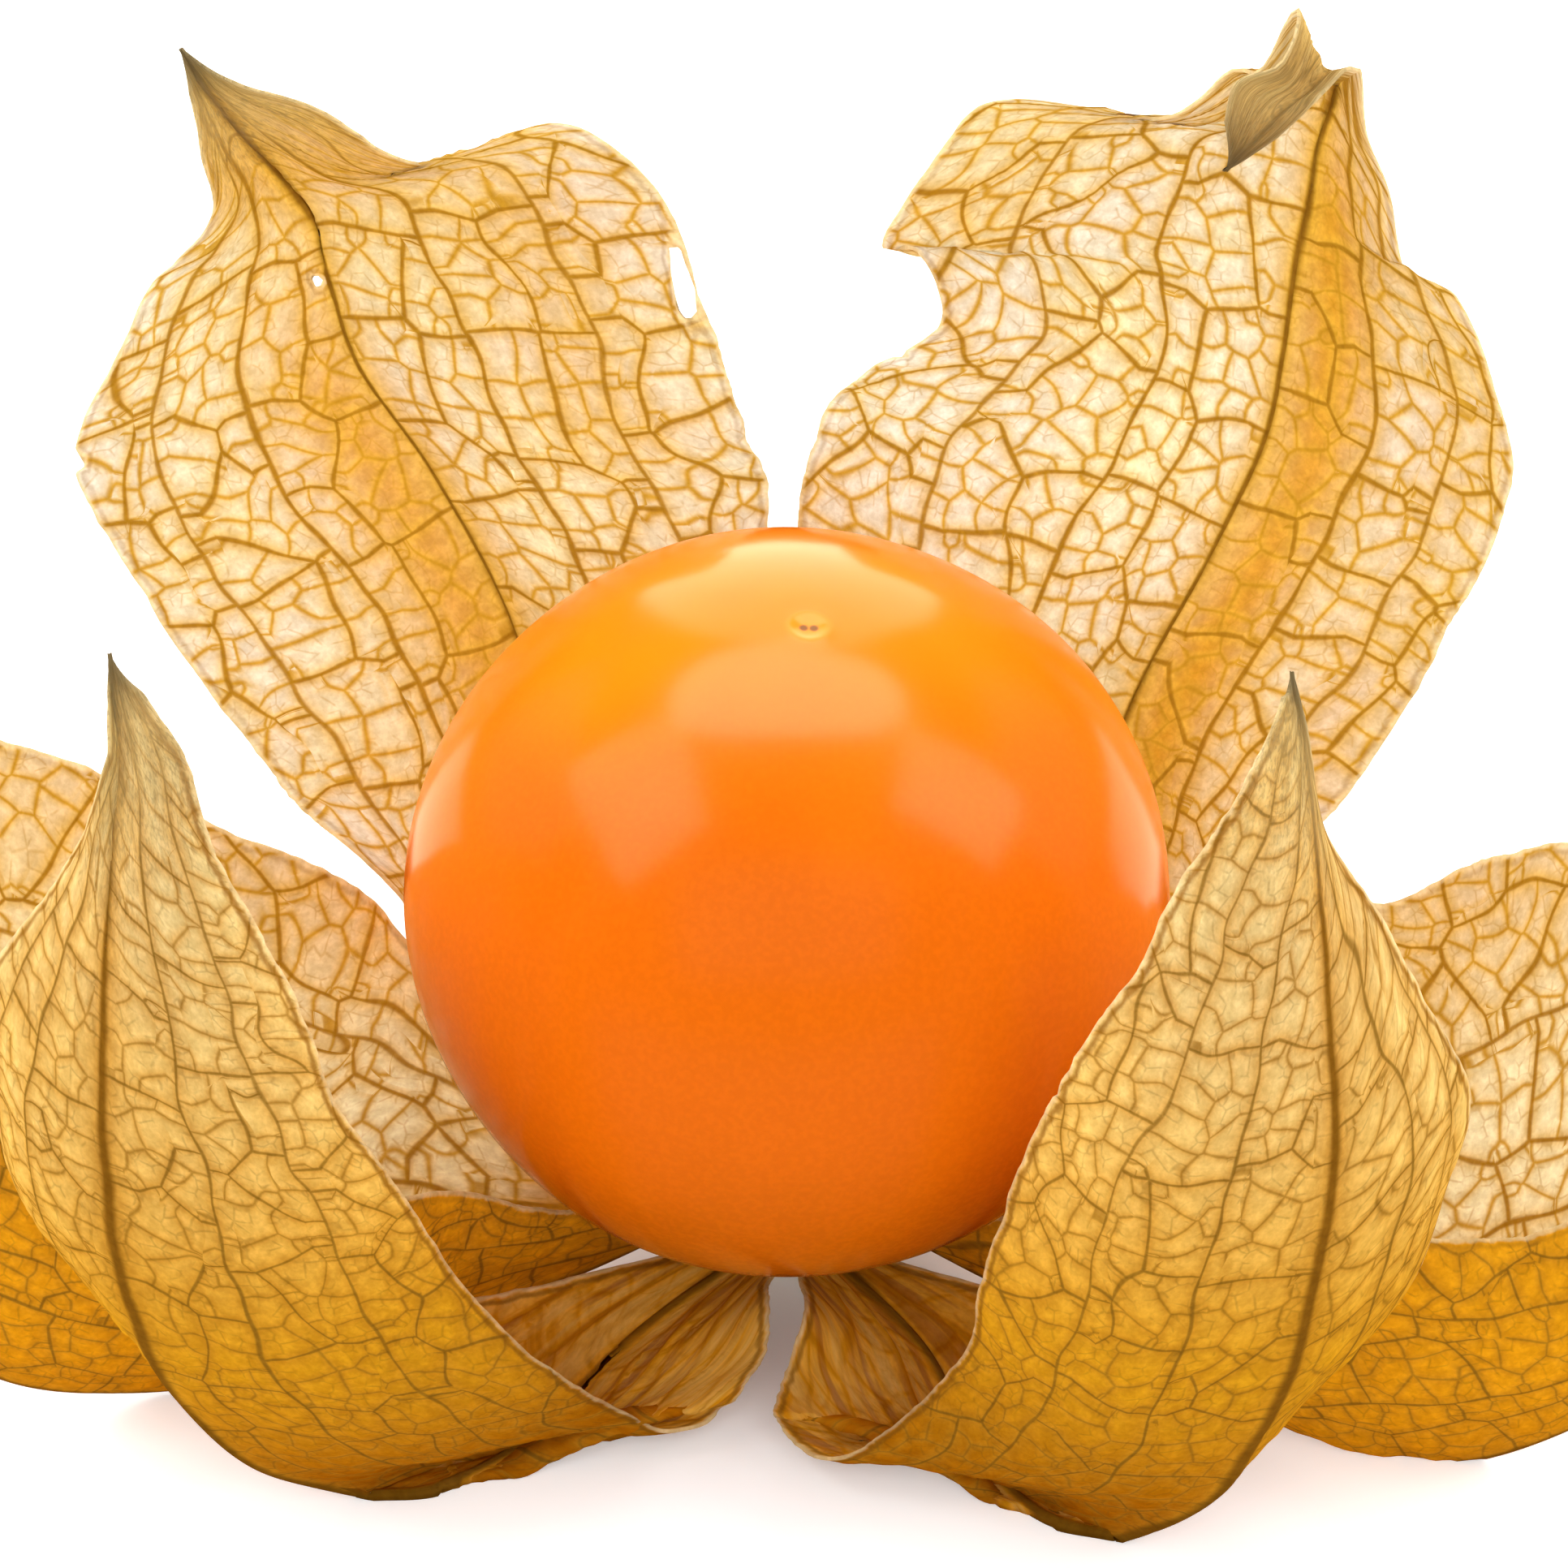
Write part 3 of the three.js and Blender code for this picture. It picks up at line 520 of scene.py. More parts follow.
def vectors(operation, a, b=None, scale=None):
    inputs = {0: a} if b is None else {0: a, 1: b}
    if scale is not None:
        inputs["Scale"] = scale
    return makeNode(treeOf(a, b, scale), "ShaderNodeVectorMath", inputs, operation=operation).outputs[0]


def measure(operation, a, b=None):
    inputs = {0: a} if b is None else {0: a, 1: b}
    return makeNode(treeOf(a, b), "ShaderNodeVectorMath", inputs, operation=operation).outputs["Value"]


def split(vector):
    return makeNode(treeOf(vector), "ShaderNodeSeparateXYZ", {0: vector}).outputs


def join(x, y=0.0):
    return makeNode(treeOf(x, y), "ShaderNodeCombineXYZ", {0: x, 1: y}).outputs[0]


def stretched(vector, scale):
    return makeNode(treeOf(vector), "ShaderNodeMapping", {"Vector": vector, "Scale": scale}).outputs[0]


def ramp(value, low, high, start=0.0, end=1.0, smooth=True):
    return makeNode(treeOf(value), "ShaderNodeMapRange", {0: value, 1: low, 2: high, 3: start, 4: end},
                    interpolation_type="SMOOTHSTEP" if smooth else "LINEAR").outputs[0]


def blend(factor, a, b, mode="MIX"):
    tree = treeOf(factor, a, b)
    node = makeNode(tree, "ShaderNodeMix", data_type="RGBA", blend_type=mode, clamp_factor=True)
    for socket, value in ((node.inputs[0], factor), (node.inputs[6], a), (node.inputs[7], b)):
        if isinstance(value, bpy.types.NodeSocket):
            tree.links.new(value, socket)
        else:
            socket.default_value = (*value, 1.0) if isinstance(value, tuple) else value
    return node.outputs[2]


def noise(vector, scale, detail=2.0, output=0, flatMap=True):
    inputs = {"Vector": vector, "Scale": scale, "Detail": detail}
    return makeNode(treeOf(vector), "ShaderNodeTexNoise", inputs,
                    noise_dimensions="2D" if flatMap else "3D").outputs[output]


def addSockets(tree, direction, kind, *names):
    for name in names:
        tree.interface.new_socket(name, in_out=direction, socket_type="NodeSocket" + kind)


def newMaterial(name):
    material = bpy.data.materials.new(name)
    material.use_nodes = True
    material.node_tree.nodes.clear()
    return material, material.node_tree


net = {
    # each level's cell size, and how near a larger vein its veins run square to it, mm
    "levels": {"large": (2.9, 0.6), "small": (1.02, 0.36), "fine": (0.45, 0.15)},
    "randomness": 0.82,
    "bends": 0.32,  # per mm
    "wander": 0.6,  # mm, how far the veins bend
    "ribWander": 0.9,
    "keelWander": 0.3,
    "laneShifts": (29.3, 41.9),  # mm from the first lane's part of the pattern to the next two
    "wingShift": 113.7,
    "cellShift": 70.0,  # mm at most, from cell to cell
    "outerRoom": 9.0,  # mm taken as the width of the outermost lane
    "turnBand": (0.7, 1.3),  # where veins turn square, as shares of that nearness
    "probe": 0.04,  # mm, the step that measures how fast a distance grows
    "leastRise": 0.05,
    "leastShift": 0.0001,  # mm, less counts as none
}


def voronoi(feature, place, cellSize):
    inputs = {"Vector": place, "Scale": 1 / cellSize, "Randomness": net["randomness"]}
    return makeNode(treeOf(place), "ShaderNodeTexVoronoi", inputs,
                    voronoi_dimensions="2D", feature=feature).outputs


def toBorder(place, cellSize):
    return times(voronoi("DISTANCE_TO_EDGE", place, cellSize)["Distance"], cellSize)


def evenBorder(border, place, cellSize, held, free):
    # where the pattern is held its distance only grows one way, so it is divided by how fast it grows there
    rise = 0.0
    for sign in (1, -1):
        aside = vectors("ADD", place, vectors("SCALE", free, scale=sign * net["probe"]))
        rise = larger(absolute(minus(toBorder(aside, cellSize), border)), rise)
    rise = larger(calc("DIVIDE", rise, net["probe"]), net["leastRise"])
    rise = plus(times(held, rise), minus(1.0, held))
    return calc("DIVIDE", border, rise)


def veinNet(flat, ribs):
    # Distances in mm to the keel, the side ribs and three levels of veins. Each level is drawn afresh
    # inside every cell of the level above, and close to a larger vein its pattern is held still across
    # that vein, so that the smaller veins meet it square on.
    tree = treeOf(flat)
    sway = split(vectors("SUBTRACT", noise(flat, net["bends"], 1.0, 1), (0.5, 0.5, 0.5)))

    def bent(value, axis, wander):
        return plus(value, times(sway[axis], wander))

    keel, first, second = split(ribs)
    keel = bent(keel, 1, net["keelWander"])
    first = bent(first, 0, net["ribWander"])
    second = bent(second, 1, net["ribWander"])
    result = {"keel": absolute(keel), "first": absolute(first), "second": absolute(second)}
    beyondFirst = calc("GREATER_THAN", first)
    beyondSecond = calc("GREATER_THAN", second)

    # three lanes on each wing: across is measured from the lane's inner rib, room is up to its outer rib
    def perLane(inner, middle, outer):
        value = makeNode(tree, "ShaderNodeMix", {0: beyondFirst, 2: inner, 3: middle}).outputs[0]
        return makeNode(tree, "ShaderNodeMix", {0: beyondSecond, 2: value, 3: outer}).outputs[0]

    across = perLane(result["keel"], result["first"], result["second"])
    room = perLane(result["first"], result["second"], net["outerRoom"])
    bentAcross = bent(across, 1, net["wander"])
    length = bent(split(flat)[0], 0, net["wander"])
    zone = perLane(0.0, *net["laneShifts"])
    zone = plus(zone, times(calc("GREATER_THAN", keel), net["wingShift"]))
    above = []
    for level, (cellSize, reach) in net["levels"].items():
        far = minus(plus(across, room), reach)
        kept = larger(smaller(bentAcross, far), reach)
        held = calc("GREATER_THAN", absolute(minus(kept, bentAcross)), net["leastShift"])
        free = makeNode(tree, "ShaderNodeCombineXYZ", {0: 1.0}).outputs[0]
        place = join(length, plus(kept, zone))
        for border, towards, colour in above:
            near = makeNode(tree, "ShaderNodeMath", {0: minus(reach, border), 1: 0.0, 2: reach / 2},
                            operation="SMOOTH_MAX").outputs[0]
            place = vectors("SUBTRACT", place, vectors("SCALE", towards, scale=near))
            place = vectors("ADD", place, vectors("SCALE", colour, scale=net["cellShift"]))
            beside = ramp(border, *(share * reach for share in net["turnBand"]), 1.0, 0.0)
            held = larger(held, beside)
            x, y, _ = split(towards)
            turned = join(y, times(x, -1.0))
            free = vectors("ADD", vectors("SCALE", turned, scale=beside),
                           vectors("SCALE", free, scale=minus(1.0, beside)))
        border = toBorder(place, cellSize)
        if level != "fine":
            border = evenBorder(border, place, cellSize, held, free)
        own, other = voronoi("F1", place, cellSize), voronoi("F2", place, cellSize)
        towards = vectors("NORMALIZE", vectors("SUBTRACT", other["Position"], own["Position"]))
        above.append((border, towards, own["Color"]))
        result[level] = border
        result[level + "Colour"] = own["Color"]
    inside = smaller(across, room)
    for level in net["levels"]:
        inside = smaller(inside, result[level])
        result[level + "Inside"] = inside
    return result


relief = {
    "inland": 0.8,  # mm from a free edge over which the relief fades
    "sunk": 0.05,  # mm, how far the veins lie below the flat sheet
    "cellReach": (0.9, 0.34),  # mm from its veins where a large or a small cell has swelled out
    # half-width in mm and height of what is raised
    "ribs": {"keel": (0.36, 1.0), "first": (0.28, 0.75), "second": (0.24, 0.55)},
    "veins": {"large": (0.18, 1.0)},
    # the same shapes, for the height that the material's bump reads
    "bumpCells": ((0.6, 0.4), (0.25, 0.32)),
    "bumpLines": {"keel": (0.3, 1.0), "first": (0.16, 0.95), "second": (0.14, 0.85),
                  "large": (0.14, 0.65), "small": (0.12, 0.4)},
}


def swelling(veins, large, small):
    # two levels of cells: how far from its veins each has swelled out, and how high
    return plus(*(times(ramp(veins[level + "Inside"], 0.0, reach), height)
                  for level, (reach, height) in (("large", large), ("small", small))))


def highest(veins, lines):
    # the highest of the ridges along these lines
    total = 0.0
    for level, (halfWidth, height) in lines.items():
        total = larger(total, ramp(veins[level], 0.0, halfWidth, height, 0.0))
    return total


def reliefTree():
    # swells the cells out of the sheet and raises the ribs and veins on both faces
    tree = bpy.data.node_groups.new("huskRelief", "GeometryNodeTree")
    addSockets(tree, "INPUT", "Geometry", "Geometry")
    addSockets(tree, "INPUT", "Float", "Cell Puff", "Small Puff", "Rib Raise", "Vein Raise")
    addSockets(tree, "INPUT", "Material", "Material")
    addSockets(tree, "OUTPUT", "Geometry", "Geometry")
    given = makeNode(tree, "NodeGroupInput").outputs

    def named(label):
        return makeNode(tree, "GeometryNodeInputNamedAttribute", {"Name": label},
                        data_type="FLOAT_VECTOR").outputs["Attribute"]

    veins = veinNet(named("flat"), named("ribs"))
    edge, outer, _ = split(named("place"))
    outwards = minus(times(outer, 2.0), 1.0)
    puff = swelling(veins, *zip(relief["cellReach"], (given["Cell Puff"], given["Small Puff"])))
    puff = times(minus(puff, relief["sunk"] * mm), outwards)
    ridge = larger(times(highest(veins, relief["ribs"]), given["Rib Raise"]),
                   times(highest(veins, relief["veins"]), given["Vein Raise"]))
    lift = times(plus(puff, ridge), ramp(edge, 0.0, relief["inland"]))
    height = plus(swelling(veins, *relief["bumpCells"]), highest(veins, relief["bumpLines"]))
    noted = makeNode(tree, "GeometryNodeStoreNamedAttribute", {
        "Geometry": given["Geometry"], "Name": "relief", "Value": join(height)},
        data_type="FLOAT_VECTOR", domain="POINT")
    normal = makeNode(tree, "GeometryNodeInputNormal").outputs[0]
    place = vectors("ADD", makeNode(tree, "GeometryNodeInputPosition").outputs[0],
                    vectors("SCALE", normal, scale=lift))
    # nothing swells through the ground
    lowest = (-1.0, -1.0, husk["groundGap"]["relief"] * mm)
    moved = makeNode(tree, "GeometryNodeSetPosition", {
        "Geometry": noted.outputs[0], "Position": vectors("MAXIMUM", place, lowest)})
    whole = makeNode(tree, "GeometryNodeRealizeInstances", {0: moved.outputs[0]})
    dressed = makeNode(tree, "GeometryNodeSetMaterial", {
        "Geometry": whole.outputs[0], "Material": given["Material"]})
    makeNode(tree, "NodeGroupOutput", {0: dressed.outputs[0]})
    return tree


def settle(obj, tree, values):
    # runs a Geometry Nodes tree on the object and keeps the result as its plain mesh
    modifier = obj.modifiers.new(tree.name, "NODES")
    modifier.node_group = tree
    ids = {item.name: item.identifier for item in tree.interface.items_tree if item.in_out == "INPUT"}
    for name, value in values.items():
        modifier[ids[name]] = value
    bpy.context.view_layer.update()
    graph = bpy.context.evaluated_depsgraph_get()
    made = bpy.data.meshes.new_from_object(
        obj.evaluated_get(graph), preserve_all_data_layers=True, depsgraph=graph)
    obj.modifiers.clear()
    old, obj.data = obj.data, made
    made.name = obj.name
    bpy.data.meshes.remove(old)


lines = {
    # half-width in mm and strength of each kind of vein
    "keel": (0.25, 1.0),
    "first": (0.12, 0.95),
    "second": (0.1, 0.85),
    "large": (0.075, 0.9),
    "small": (0.1, 1.0),
    "fine": (0.05, 1.0),
    "softEdge": (0.3, 1.3),  # where a large line fades, as shares of its half-width
    "taper": (0.15, 1.0, 1.0, 0.55),  # width of the ribs, from that share of the length to the tip
    "unevenNoise": (0.8, 2.0),  # per mm, detail
    "uneven": (0.3, 0.7, 0.7, 1.25),  # the widths that come of it
    "outerWidth": 0.62,  # of the same lines on the outer face
    "gapNoise": (1.3, 2.0),
    "gaps": (0.42, 0.58),  # where veinlets break off
    # reach in mm and strength of the amber beside each kind of vein; on the outer face the same reach gives
    # painted shade beside the veins
    "halos": {"keel": (1.3, 1.3), "first": (0.7, 0.95), "second": (0.6, 0.9), "large": (0.6, 1.0),
              "small": (0.34, 0.95)},
}


def netGroup():
    # shader node group: masks of the husk's veins from its flat coordinates
    tree = bpy.data.node_groups.new("huskVeins", "ShaderNodeTree")
    addSockets(tree, "INPUT", "Vector", "Flat", "Ribs")
    addSockets(tree, "INPUT", "Float", "Along", "Outer")
    addSockets(tree, "OUTPUT", "Float", "Rib", "Vein", "Small", "Veinlet", "Halo", "Cell")
    given = makeNode(tree, "NodeGroupInput").outputs
    flat = given["Flat"]
    veins = veinNet(flat, given["Ribs"])

    def softLine(level, width):
        halfWidth, strength = lines[level]
        share = calc("DIVIDE", veins[level], times(width, halfWidth))
        return ramp(share, *lines["softEdge"], strength, 0.0)

    taper = ramp(given["Along"], *lines["taper"], smooth=False)
    uneven = ramp(noise(flat, *lines["unevenNoise"]), *lines["uneven"])
    uneven = times(uneven, ramp(given["Outer"], 0.0, 1.0, 1.0, lines["outerWidth"]))
    ribWidth = times(taper, uneven)
    sides = larger(softLine("first", ribWidth), softLine("second", ribWidth))
    halfWidth, strength = lines["small"]
    small = ramp(calc("DIVIDE", veins["small"], uneven), 0.0, halfWidth, strength, 0.0)
    gaps = ramp(noise(flat, *lines["gapNoise"]), *lines["gaps"])
    halfWidth, strength = lines["fine"]
    veinlet = times(gaps, ramp(veins["fine"], 0.0, halfWidth, strength, 0.0))
    halo = 0.0
    for level, (reach, strength) in lines["halos"].items():
        near = ramp(veins[level], 0.0, reach, 1.0, 0.0, smooth=False)
        halo = larger(halo, times(times(near, near), strength))
    cell, patch = (makeNode(tree, "ShaderNodeSeparateColor", {0: veins[level + "Colour"]}).outputs[0]
                   for level in ("small", "large"))
    makeNode(tree, "NodeGroupOutput", {
        "Rib": softLine("keel", taper), "Vein": larger(sides, softLine("large", uneven)),
        "Small": small, "Veinlet": veinlet, "Halo": halo,
        "Cell": plus(times(cell, 0.5), times(patch, 0.5))})
    return tree


def laidOver(colour, layers, fields, colours):
    # Lays colours over one another. A layer has the mask or measure that it goes by, then its strength or
    # where it comes in (from, to, first and last strength), and its colour.
    for field, amount, name in layers:
        if isinstance(amount, tuple):
            factor = ramp(fields[field], *amount)
        else:
            factor = times(fields[field], amount)
        colour = blend(factor, colour, colours[name])
    return colour


paper = {
    "innerCell": (0.83, 0.79, 0.70),
    "innerLine": (0.53, 0.29, 0.02),
    "innerDeep": (0.82, 0.75, 0.50),
    "innerHalo": (0.74, 0.45, 0.05),
    "innerVein": (0.37, 0.18, 0.01),
    # painted shade at the base of the inside, under the berry: a darker tint that the inside is multiplied
    # by, and a deep orange
    "innerBaseShade": (1.0, 0.62, 0.05),
    "baseShadeGold": (0.95, 0.44, 0.01),
    "streak": (0.82, 0.55, 0.16),
    "darkStreak": (0.44, 0.14, 0.003),
    "stain": (0.66, 0.34, 0.03),
    # pale colour of bleached wear, and of the painted light on the side lobes
    "wearAndPaintedLight": (1.0, 1.0, 0.72),
    "outerTop": (0.80, 0.66, 0.32),
    "outerMiddle": (0.96, 0.65, 0.15),
    "outerPale": (1.0, 0.66, 0.14),
    "outerBelly": (0.78, 0.41, 0.015),
    # painted shade near the ground, at the bottom of the outer faces
    "outerGroundShade": (0.50, 0.17, 0.002),
    "outerStain": (0.92, 0.44, 0.01),
    # painted shade beside the veins on the outer face, which makes its cells look swelled
    "outerVeinShade": (0.60, 0.29, 0.02),
    "outerVein": (0.20, 0.11, 0.012),
    "keel": (0.22, 0.10, 0.008),
    "rim": (0.86, 0.70, 0.40),
    "rimLine": (0.30, 0.13, 0.012),
    "dryTop": (0.50, 0.40, 0.18),
    "tip": (0.13, 0.10, 0.05),
    "speck": (0.55, 0.40, 0.22),
    "grain": (0.82, 0.79, 0.72),
    "farFace": (1.0, 0.95, 0.86),
    # pale cells with amber beside the veins, paler under bleached wear and under the painted light on the
    # side lobes
    "innerLayers": (
        ("blotch", (0.42, 0.8), "innerDeep"), ("stain", 1.0, "stain"), ("wearAndPaintedLight", 1.0, "wearAndPaintedLight"),
        ("amber", 1.0, "innerHalo"), ("veinlet", 0.4, "innerLine"), ("small", 0.8, "innerLine"),
        ("vein", 0.96, "innerVein")),
    "deepLayers": (("streaks", (0.5, 0.68, 0.0, 0.35), "streak"),
                   ("streaks", (0.34, 0.5, 0.75, 0.0), "darkStreak")),
    # grey at the top, gold in the middle, orange below, and painted shade darkening the lowest 8 mm towards
    # the ground: heights in mm
    "outerLayers": (
        ("high", (9.0, 23.0), "outerTop"), ("high", (7.5, 16.0, 1.0, 0.0), "outerBelly"),
        ("high", (0.5, 8.0, 1.0, 0.0), "outerGroundShade"), ("paler", 1.0, "outerPale"),
        # painted shade beside the veins on the outer face
        ("stain", 0.8, "outerStain"), ("halo", 0.75, "outerVeinShade"), ("veinlet", 0.3, "outerVein"),
        ("small", 0.45, "outerVein"), ("vein", 0.74, "outerVein")),
    # the keel, a worn rim with a dark line behind it, and a dry grey tip
    "edgeLayers": (
        ("rib", 0.92, "keel"), ("rimLine", 1.0, "rimLine"), ("ragged", (0.02, 0.13, 0.75, 0.0), "rim"),
        ("tipSpecks", 0.6, "tip"), ("along", (0.86, 0.95, 0.0, 0.5), "dryTop"),
        ("along", (0.945, 1.0, 0.0, 0.88), "tip")),
    # noises over the flat coordinates: how fine per mm, and detail
    "noises": {"blotch": (0.16, 3.0), "grain": (2.2, 5.0), "frayed": (2.5, 3.0), "tipSpecks": (6.0, 3.0),
               "speck": (7.0, 2.0), "crumple": (3.5, 4.0)},
    "streakStretch": (0.2, 1.6, 1.0),
    "streakNoise": (1.0, 2.0),
    "cellShade": 0.2,  # how much the cells differ
    "amberOverWearAndPaintedLight": (0.2, 1.0, 0.95, 0.8),
    "paleCells": (0.45, 0.85, 0.0, 0.35),
    "paleHeights": (9.0, 15.0),  # mm
    # the painted shade at the base of the inside: its share of deep orange, where it comes in along the
    # length and up the front lobes, and how much the pale bands lift it
    "goldInBaseShade": 0.55,
    "baseShadeAlong": (0.12, 0.38, 0.92, 0.0),  # share of the length
    "frontShadeAlong": (0.35, 0.75, 0.9, 0.0),
    "front": (-7.0, -3.0, 1.0, 0.0),  # mm
    "baseShadeOverWearAndPaintedLight": (0.0, 0.8, 1.0, 0.1),
    "rimWobble": 0.16,  # mm
    "rimLineAt": 0.2,
    "rimLineWidth": (0.01, 0.13, 1.0, 0.0),
    "tipSpecks": (0.5, 0.62),
    "specksAlong": (0.8, 1.0),
    "grainShade": (0.3, 0.75),
    "specks": (0.35, 0.65, 0.0, 0.16),
    "throughShare": 0.45,  # of the light that goes through the sheet
    "farTint": 0.25,  # how much the far face adds to that light's colour
    "roughness": 0.6,
    "bump": 0.8,
    "bumpDepth": 0.08,  # mm
    "bumpCrumple": 0.5,
}


def huskFields(tree, veinGroup):
    # every mask and measure that the husk's colours go by
    def attribute(name):
        return makeNode(tree, "ShaderNodeAttribute", attribute_name=name).outputs["Vector"]

    flat = attribute("flat")
    fields = {name: noise(flat, *values) for name, values in paper["noises"].items()}
    fields["edge"], fields["outer"], fields["along"] = split(attribute("place"))
    fields["stain"], fields["wearAndPaintedLight"], rimShade = split(attribute("marks"))
    veins = makeNode(tree, "ShaderNodeGroup", {
        "Flat": flat, "Ribs": attribute("ribs"), "Along": fields["along"], "Outer": fields["outer"]},
        node_tree=veinGroup)
    for output in veins.outputs:
        fields[output.name.lower()] = output
    spot = makeNode(tree, "ShaderNodeTexCoord").outputs["Object"]
    _, back, fields["high"] = split(vectors("SCALE", spot, scale=1 / mm))
    fields["blotch"] = plus(fields["blotch"], times(fields["cell"], paper["cellShade"]))
    fields["streaks"] = noise(stretched(flat, paper["streakStretch"]), *paper["streakNoise"])
    # the amber beside the veins is weaker under bleached wear and under the painted light on the side lobes
    fields["amber"] = times(fields["halo"], ramp(fields["wearAndPaintedLight"], *paper["amberOverWearAndPaintedLight"]))
    fields["paler"] = times(ramp(fields["blotch"], *paper["paleCells"]),
                            ramp(fields["high"], *paper["paleHeights"]))
    # painted shade under the berry: the inside is painted darker and deep orange near the base, further up
    # the lobes in front of the berry, and less under the pale bands
    shadeAtFront = times(ramp(back, *paper["front"]), ramp(fields["along"], *paper["frontShadeAlong"]))
    atBase = larger(ramp(fields["along"], *paper["baseShadeAlong"]), shadeAtFront)
    fields["atBase"] = times(atBase, ramp(fields["wearAndPaintedLight"], *paper["baseShadeOverWearAndPaintedLight"]))
    wobble = times(minus(fields["frayed"], 0.5), paper["rimWobble"])
    fields["ragged"] = plus(fields["edge"], wobble)
    offLine = absolute(minus(fields["ragged"], paper["rimLineAt"]))
    fields["rimLine"] = times(ramp(offLine, *paper["rimLineWidth"]), rimShade)
    fields["tipSpecks"] = times(ramp(fields["tipSpecks"], *paper["tipSpecks"]),
                                ramp(fields["along"], *paper["specksAlong"]))
    fields["relief"] = split(attribute("relief"))[0]
    return fields


def huskMaterial(veinGroup):
    material, tree = newMaterial("huskPaper")
    fields = huskFields(tree, veinGroup)
    inner = laidOver(paper["innerCell"], paper["innerLayers"], fields, paper)
    # the inside painted darker and deep orange at the base, as shade under the berry, with streaks laid
    # over it
    baseShade = blend(1.0, inner, paper["innerBaseShade"], "MULTIPLY")
    baseShade = blend(paper["goldInBaseShade"], baseShade, paper["baseShadeGold"])
    inner = blend(fields["atBase"], inner, laidOver(baseShade, paper["deepLayers"], fields, paper))
    outer = laidOver(paper["outerMiddle"], paper["outerLayers"], fields, paper)
    colour = blend(fields["outer"], inner, outer)
    colour = laidOver(colour, paper["edgeLayers"], fields, paper)
    shade = blend(ramp(fields["grain"], *paper["grainShade"]), paper["grain"], (1.0, 1.0, 1.0))
    colour = blend(1.0, colour, shade, "MULTIPLY")
    darker = blend(1.0, colour, paper["speck"], "MULTIPLY")
    colour = blend(ramp(fields["speck"], *paper["specks"]), colour, darker)
    height = plus(fields["relief"], times(fields["crumple"], paper["bumpCrumple"]))
    bump = makeNode(tree, "ShaderNodeBump", {
        "Strength": paper["bump"], "Distance": paper["bumpDepth"] * mm, "Height": height}).outputs[0]
    skin = makeNode(tree, "ShaderNodeBsdfPrincipled", {
        "Base Color": colour, "Roughness": paper["roughness"], "Normal": bump, "Specular IOR Level": 0.0})
    through = makeNode(tree, "ShaderNodeBsdfTranslucent", {"Color": colour, "Normal": bump})
    sheet = makeNode(tree, "ShaderNodeMixShader", {
        0: paper["throughShare"], 1: skin.outputs[0], 2: through.outputs[0]})
    # the face that is looked at gives light from behind most of its colour, and the other face a little
    leaving = makeNode(tree, "ShaderNodeBsdfTranslucent", {
        "Color": blend(paper["farTint"], paper["farFace"], colour)})
    farSide = makeNode(tree, "ShaderNodeNewGeometry").outputs["Backfacing"]
    mixed = makeNode(tree, "ShaderNodeMixShader", {0: farSide, 1: sheet.outputs[0], 2: leaving.outputs[0]})
    makeNode(tree, "ShaderNodeOutputMaterial", {"Surface": mixed.outputs[0]})
    return material


berry = {
    "rings": 150,
    "ringShift": 0.3,  # of a ring's height, from the lowest point
    "segments": 160,
    "radius": 10.0,  # mm
    "halfHeight": 9.52,
    "centreHeight": 12.2,
    "leanForward": 4.0,  # degrees
    "leanRight": 3.0,
    "furrows": 5,
    "waist": 0.012,  # depth of the furrows, as a share of the radius
    "furrowTurn": 0.4,  # radians
    "scarRadius": 0.5,  # mm
    "scarFrom": 0.1,  # radians from the top where its finer rings begin
    "scarRings": [0.9, 0.75, 0.62, 0.54, 0.46, 0.38, 0.3, 0.22, 0.14, 0.06],  # mm from the top
    "lip": (0.02, 1.05, 0.28),  # height in mm, then place and width in scar radii
    "dish": (0.06, 0.75),
    "hollow": (0.035, 1.1),  # depth and radius in mm
    "low": (0.34, 0.075, 0.001),
    "middle": (0.64, 0.115, 0.001),
    "top": (1.0, 0.22, 0.002),
    # painted reflection of the yellow husk, laid on the back half of the berry, which shows round its rim
    "rimReflection": (1.0, 0.30, 0.002),
    "fleck": (1.0, 0.20, 0.004),
    "scarRing": (0.9, 0.5, 0.06),
    "pore": (0.16, 0.05, 0.01),
    # yellower on top and darker towards the bottom, with a painted reflection of the husk on the back half
    # that shows round the rim, flecked, with a pale ring round the scar's two brown pores
    "layers": (
        ("level", (-9.0, 1.0), "middle"), ("level", (6.0, 11.0), "top"),
        ("back", (-5.5, 0.0, 0.0, 0.12), "rimReflection"), ("grain", (0.35, 0.7, 0.0, 0.12), "fleck"),
        ("fromScar", (0.4, 0.7, 0.2, 0.0), "scarRing"), ("fromPore", (0.07, 0.16, 0.9, 0.0), "pore")),
    "levelWave": 4.0,  # mm
    "poresAt": (-0.12, 0.14),
    "poreDepth": 0.11,
    "roughness": 0.18,
    "gloss": 0.14,
    # noises: how fine per mm, and detail
    "levelNoise": (0.16, 2.0),
    "grainNoise": (5.5, 3.0),
    "waveNoise": (0.35, 1.0),
}


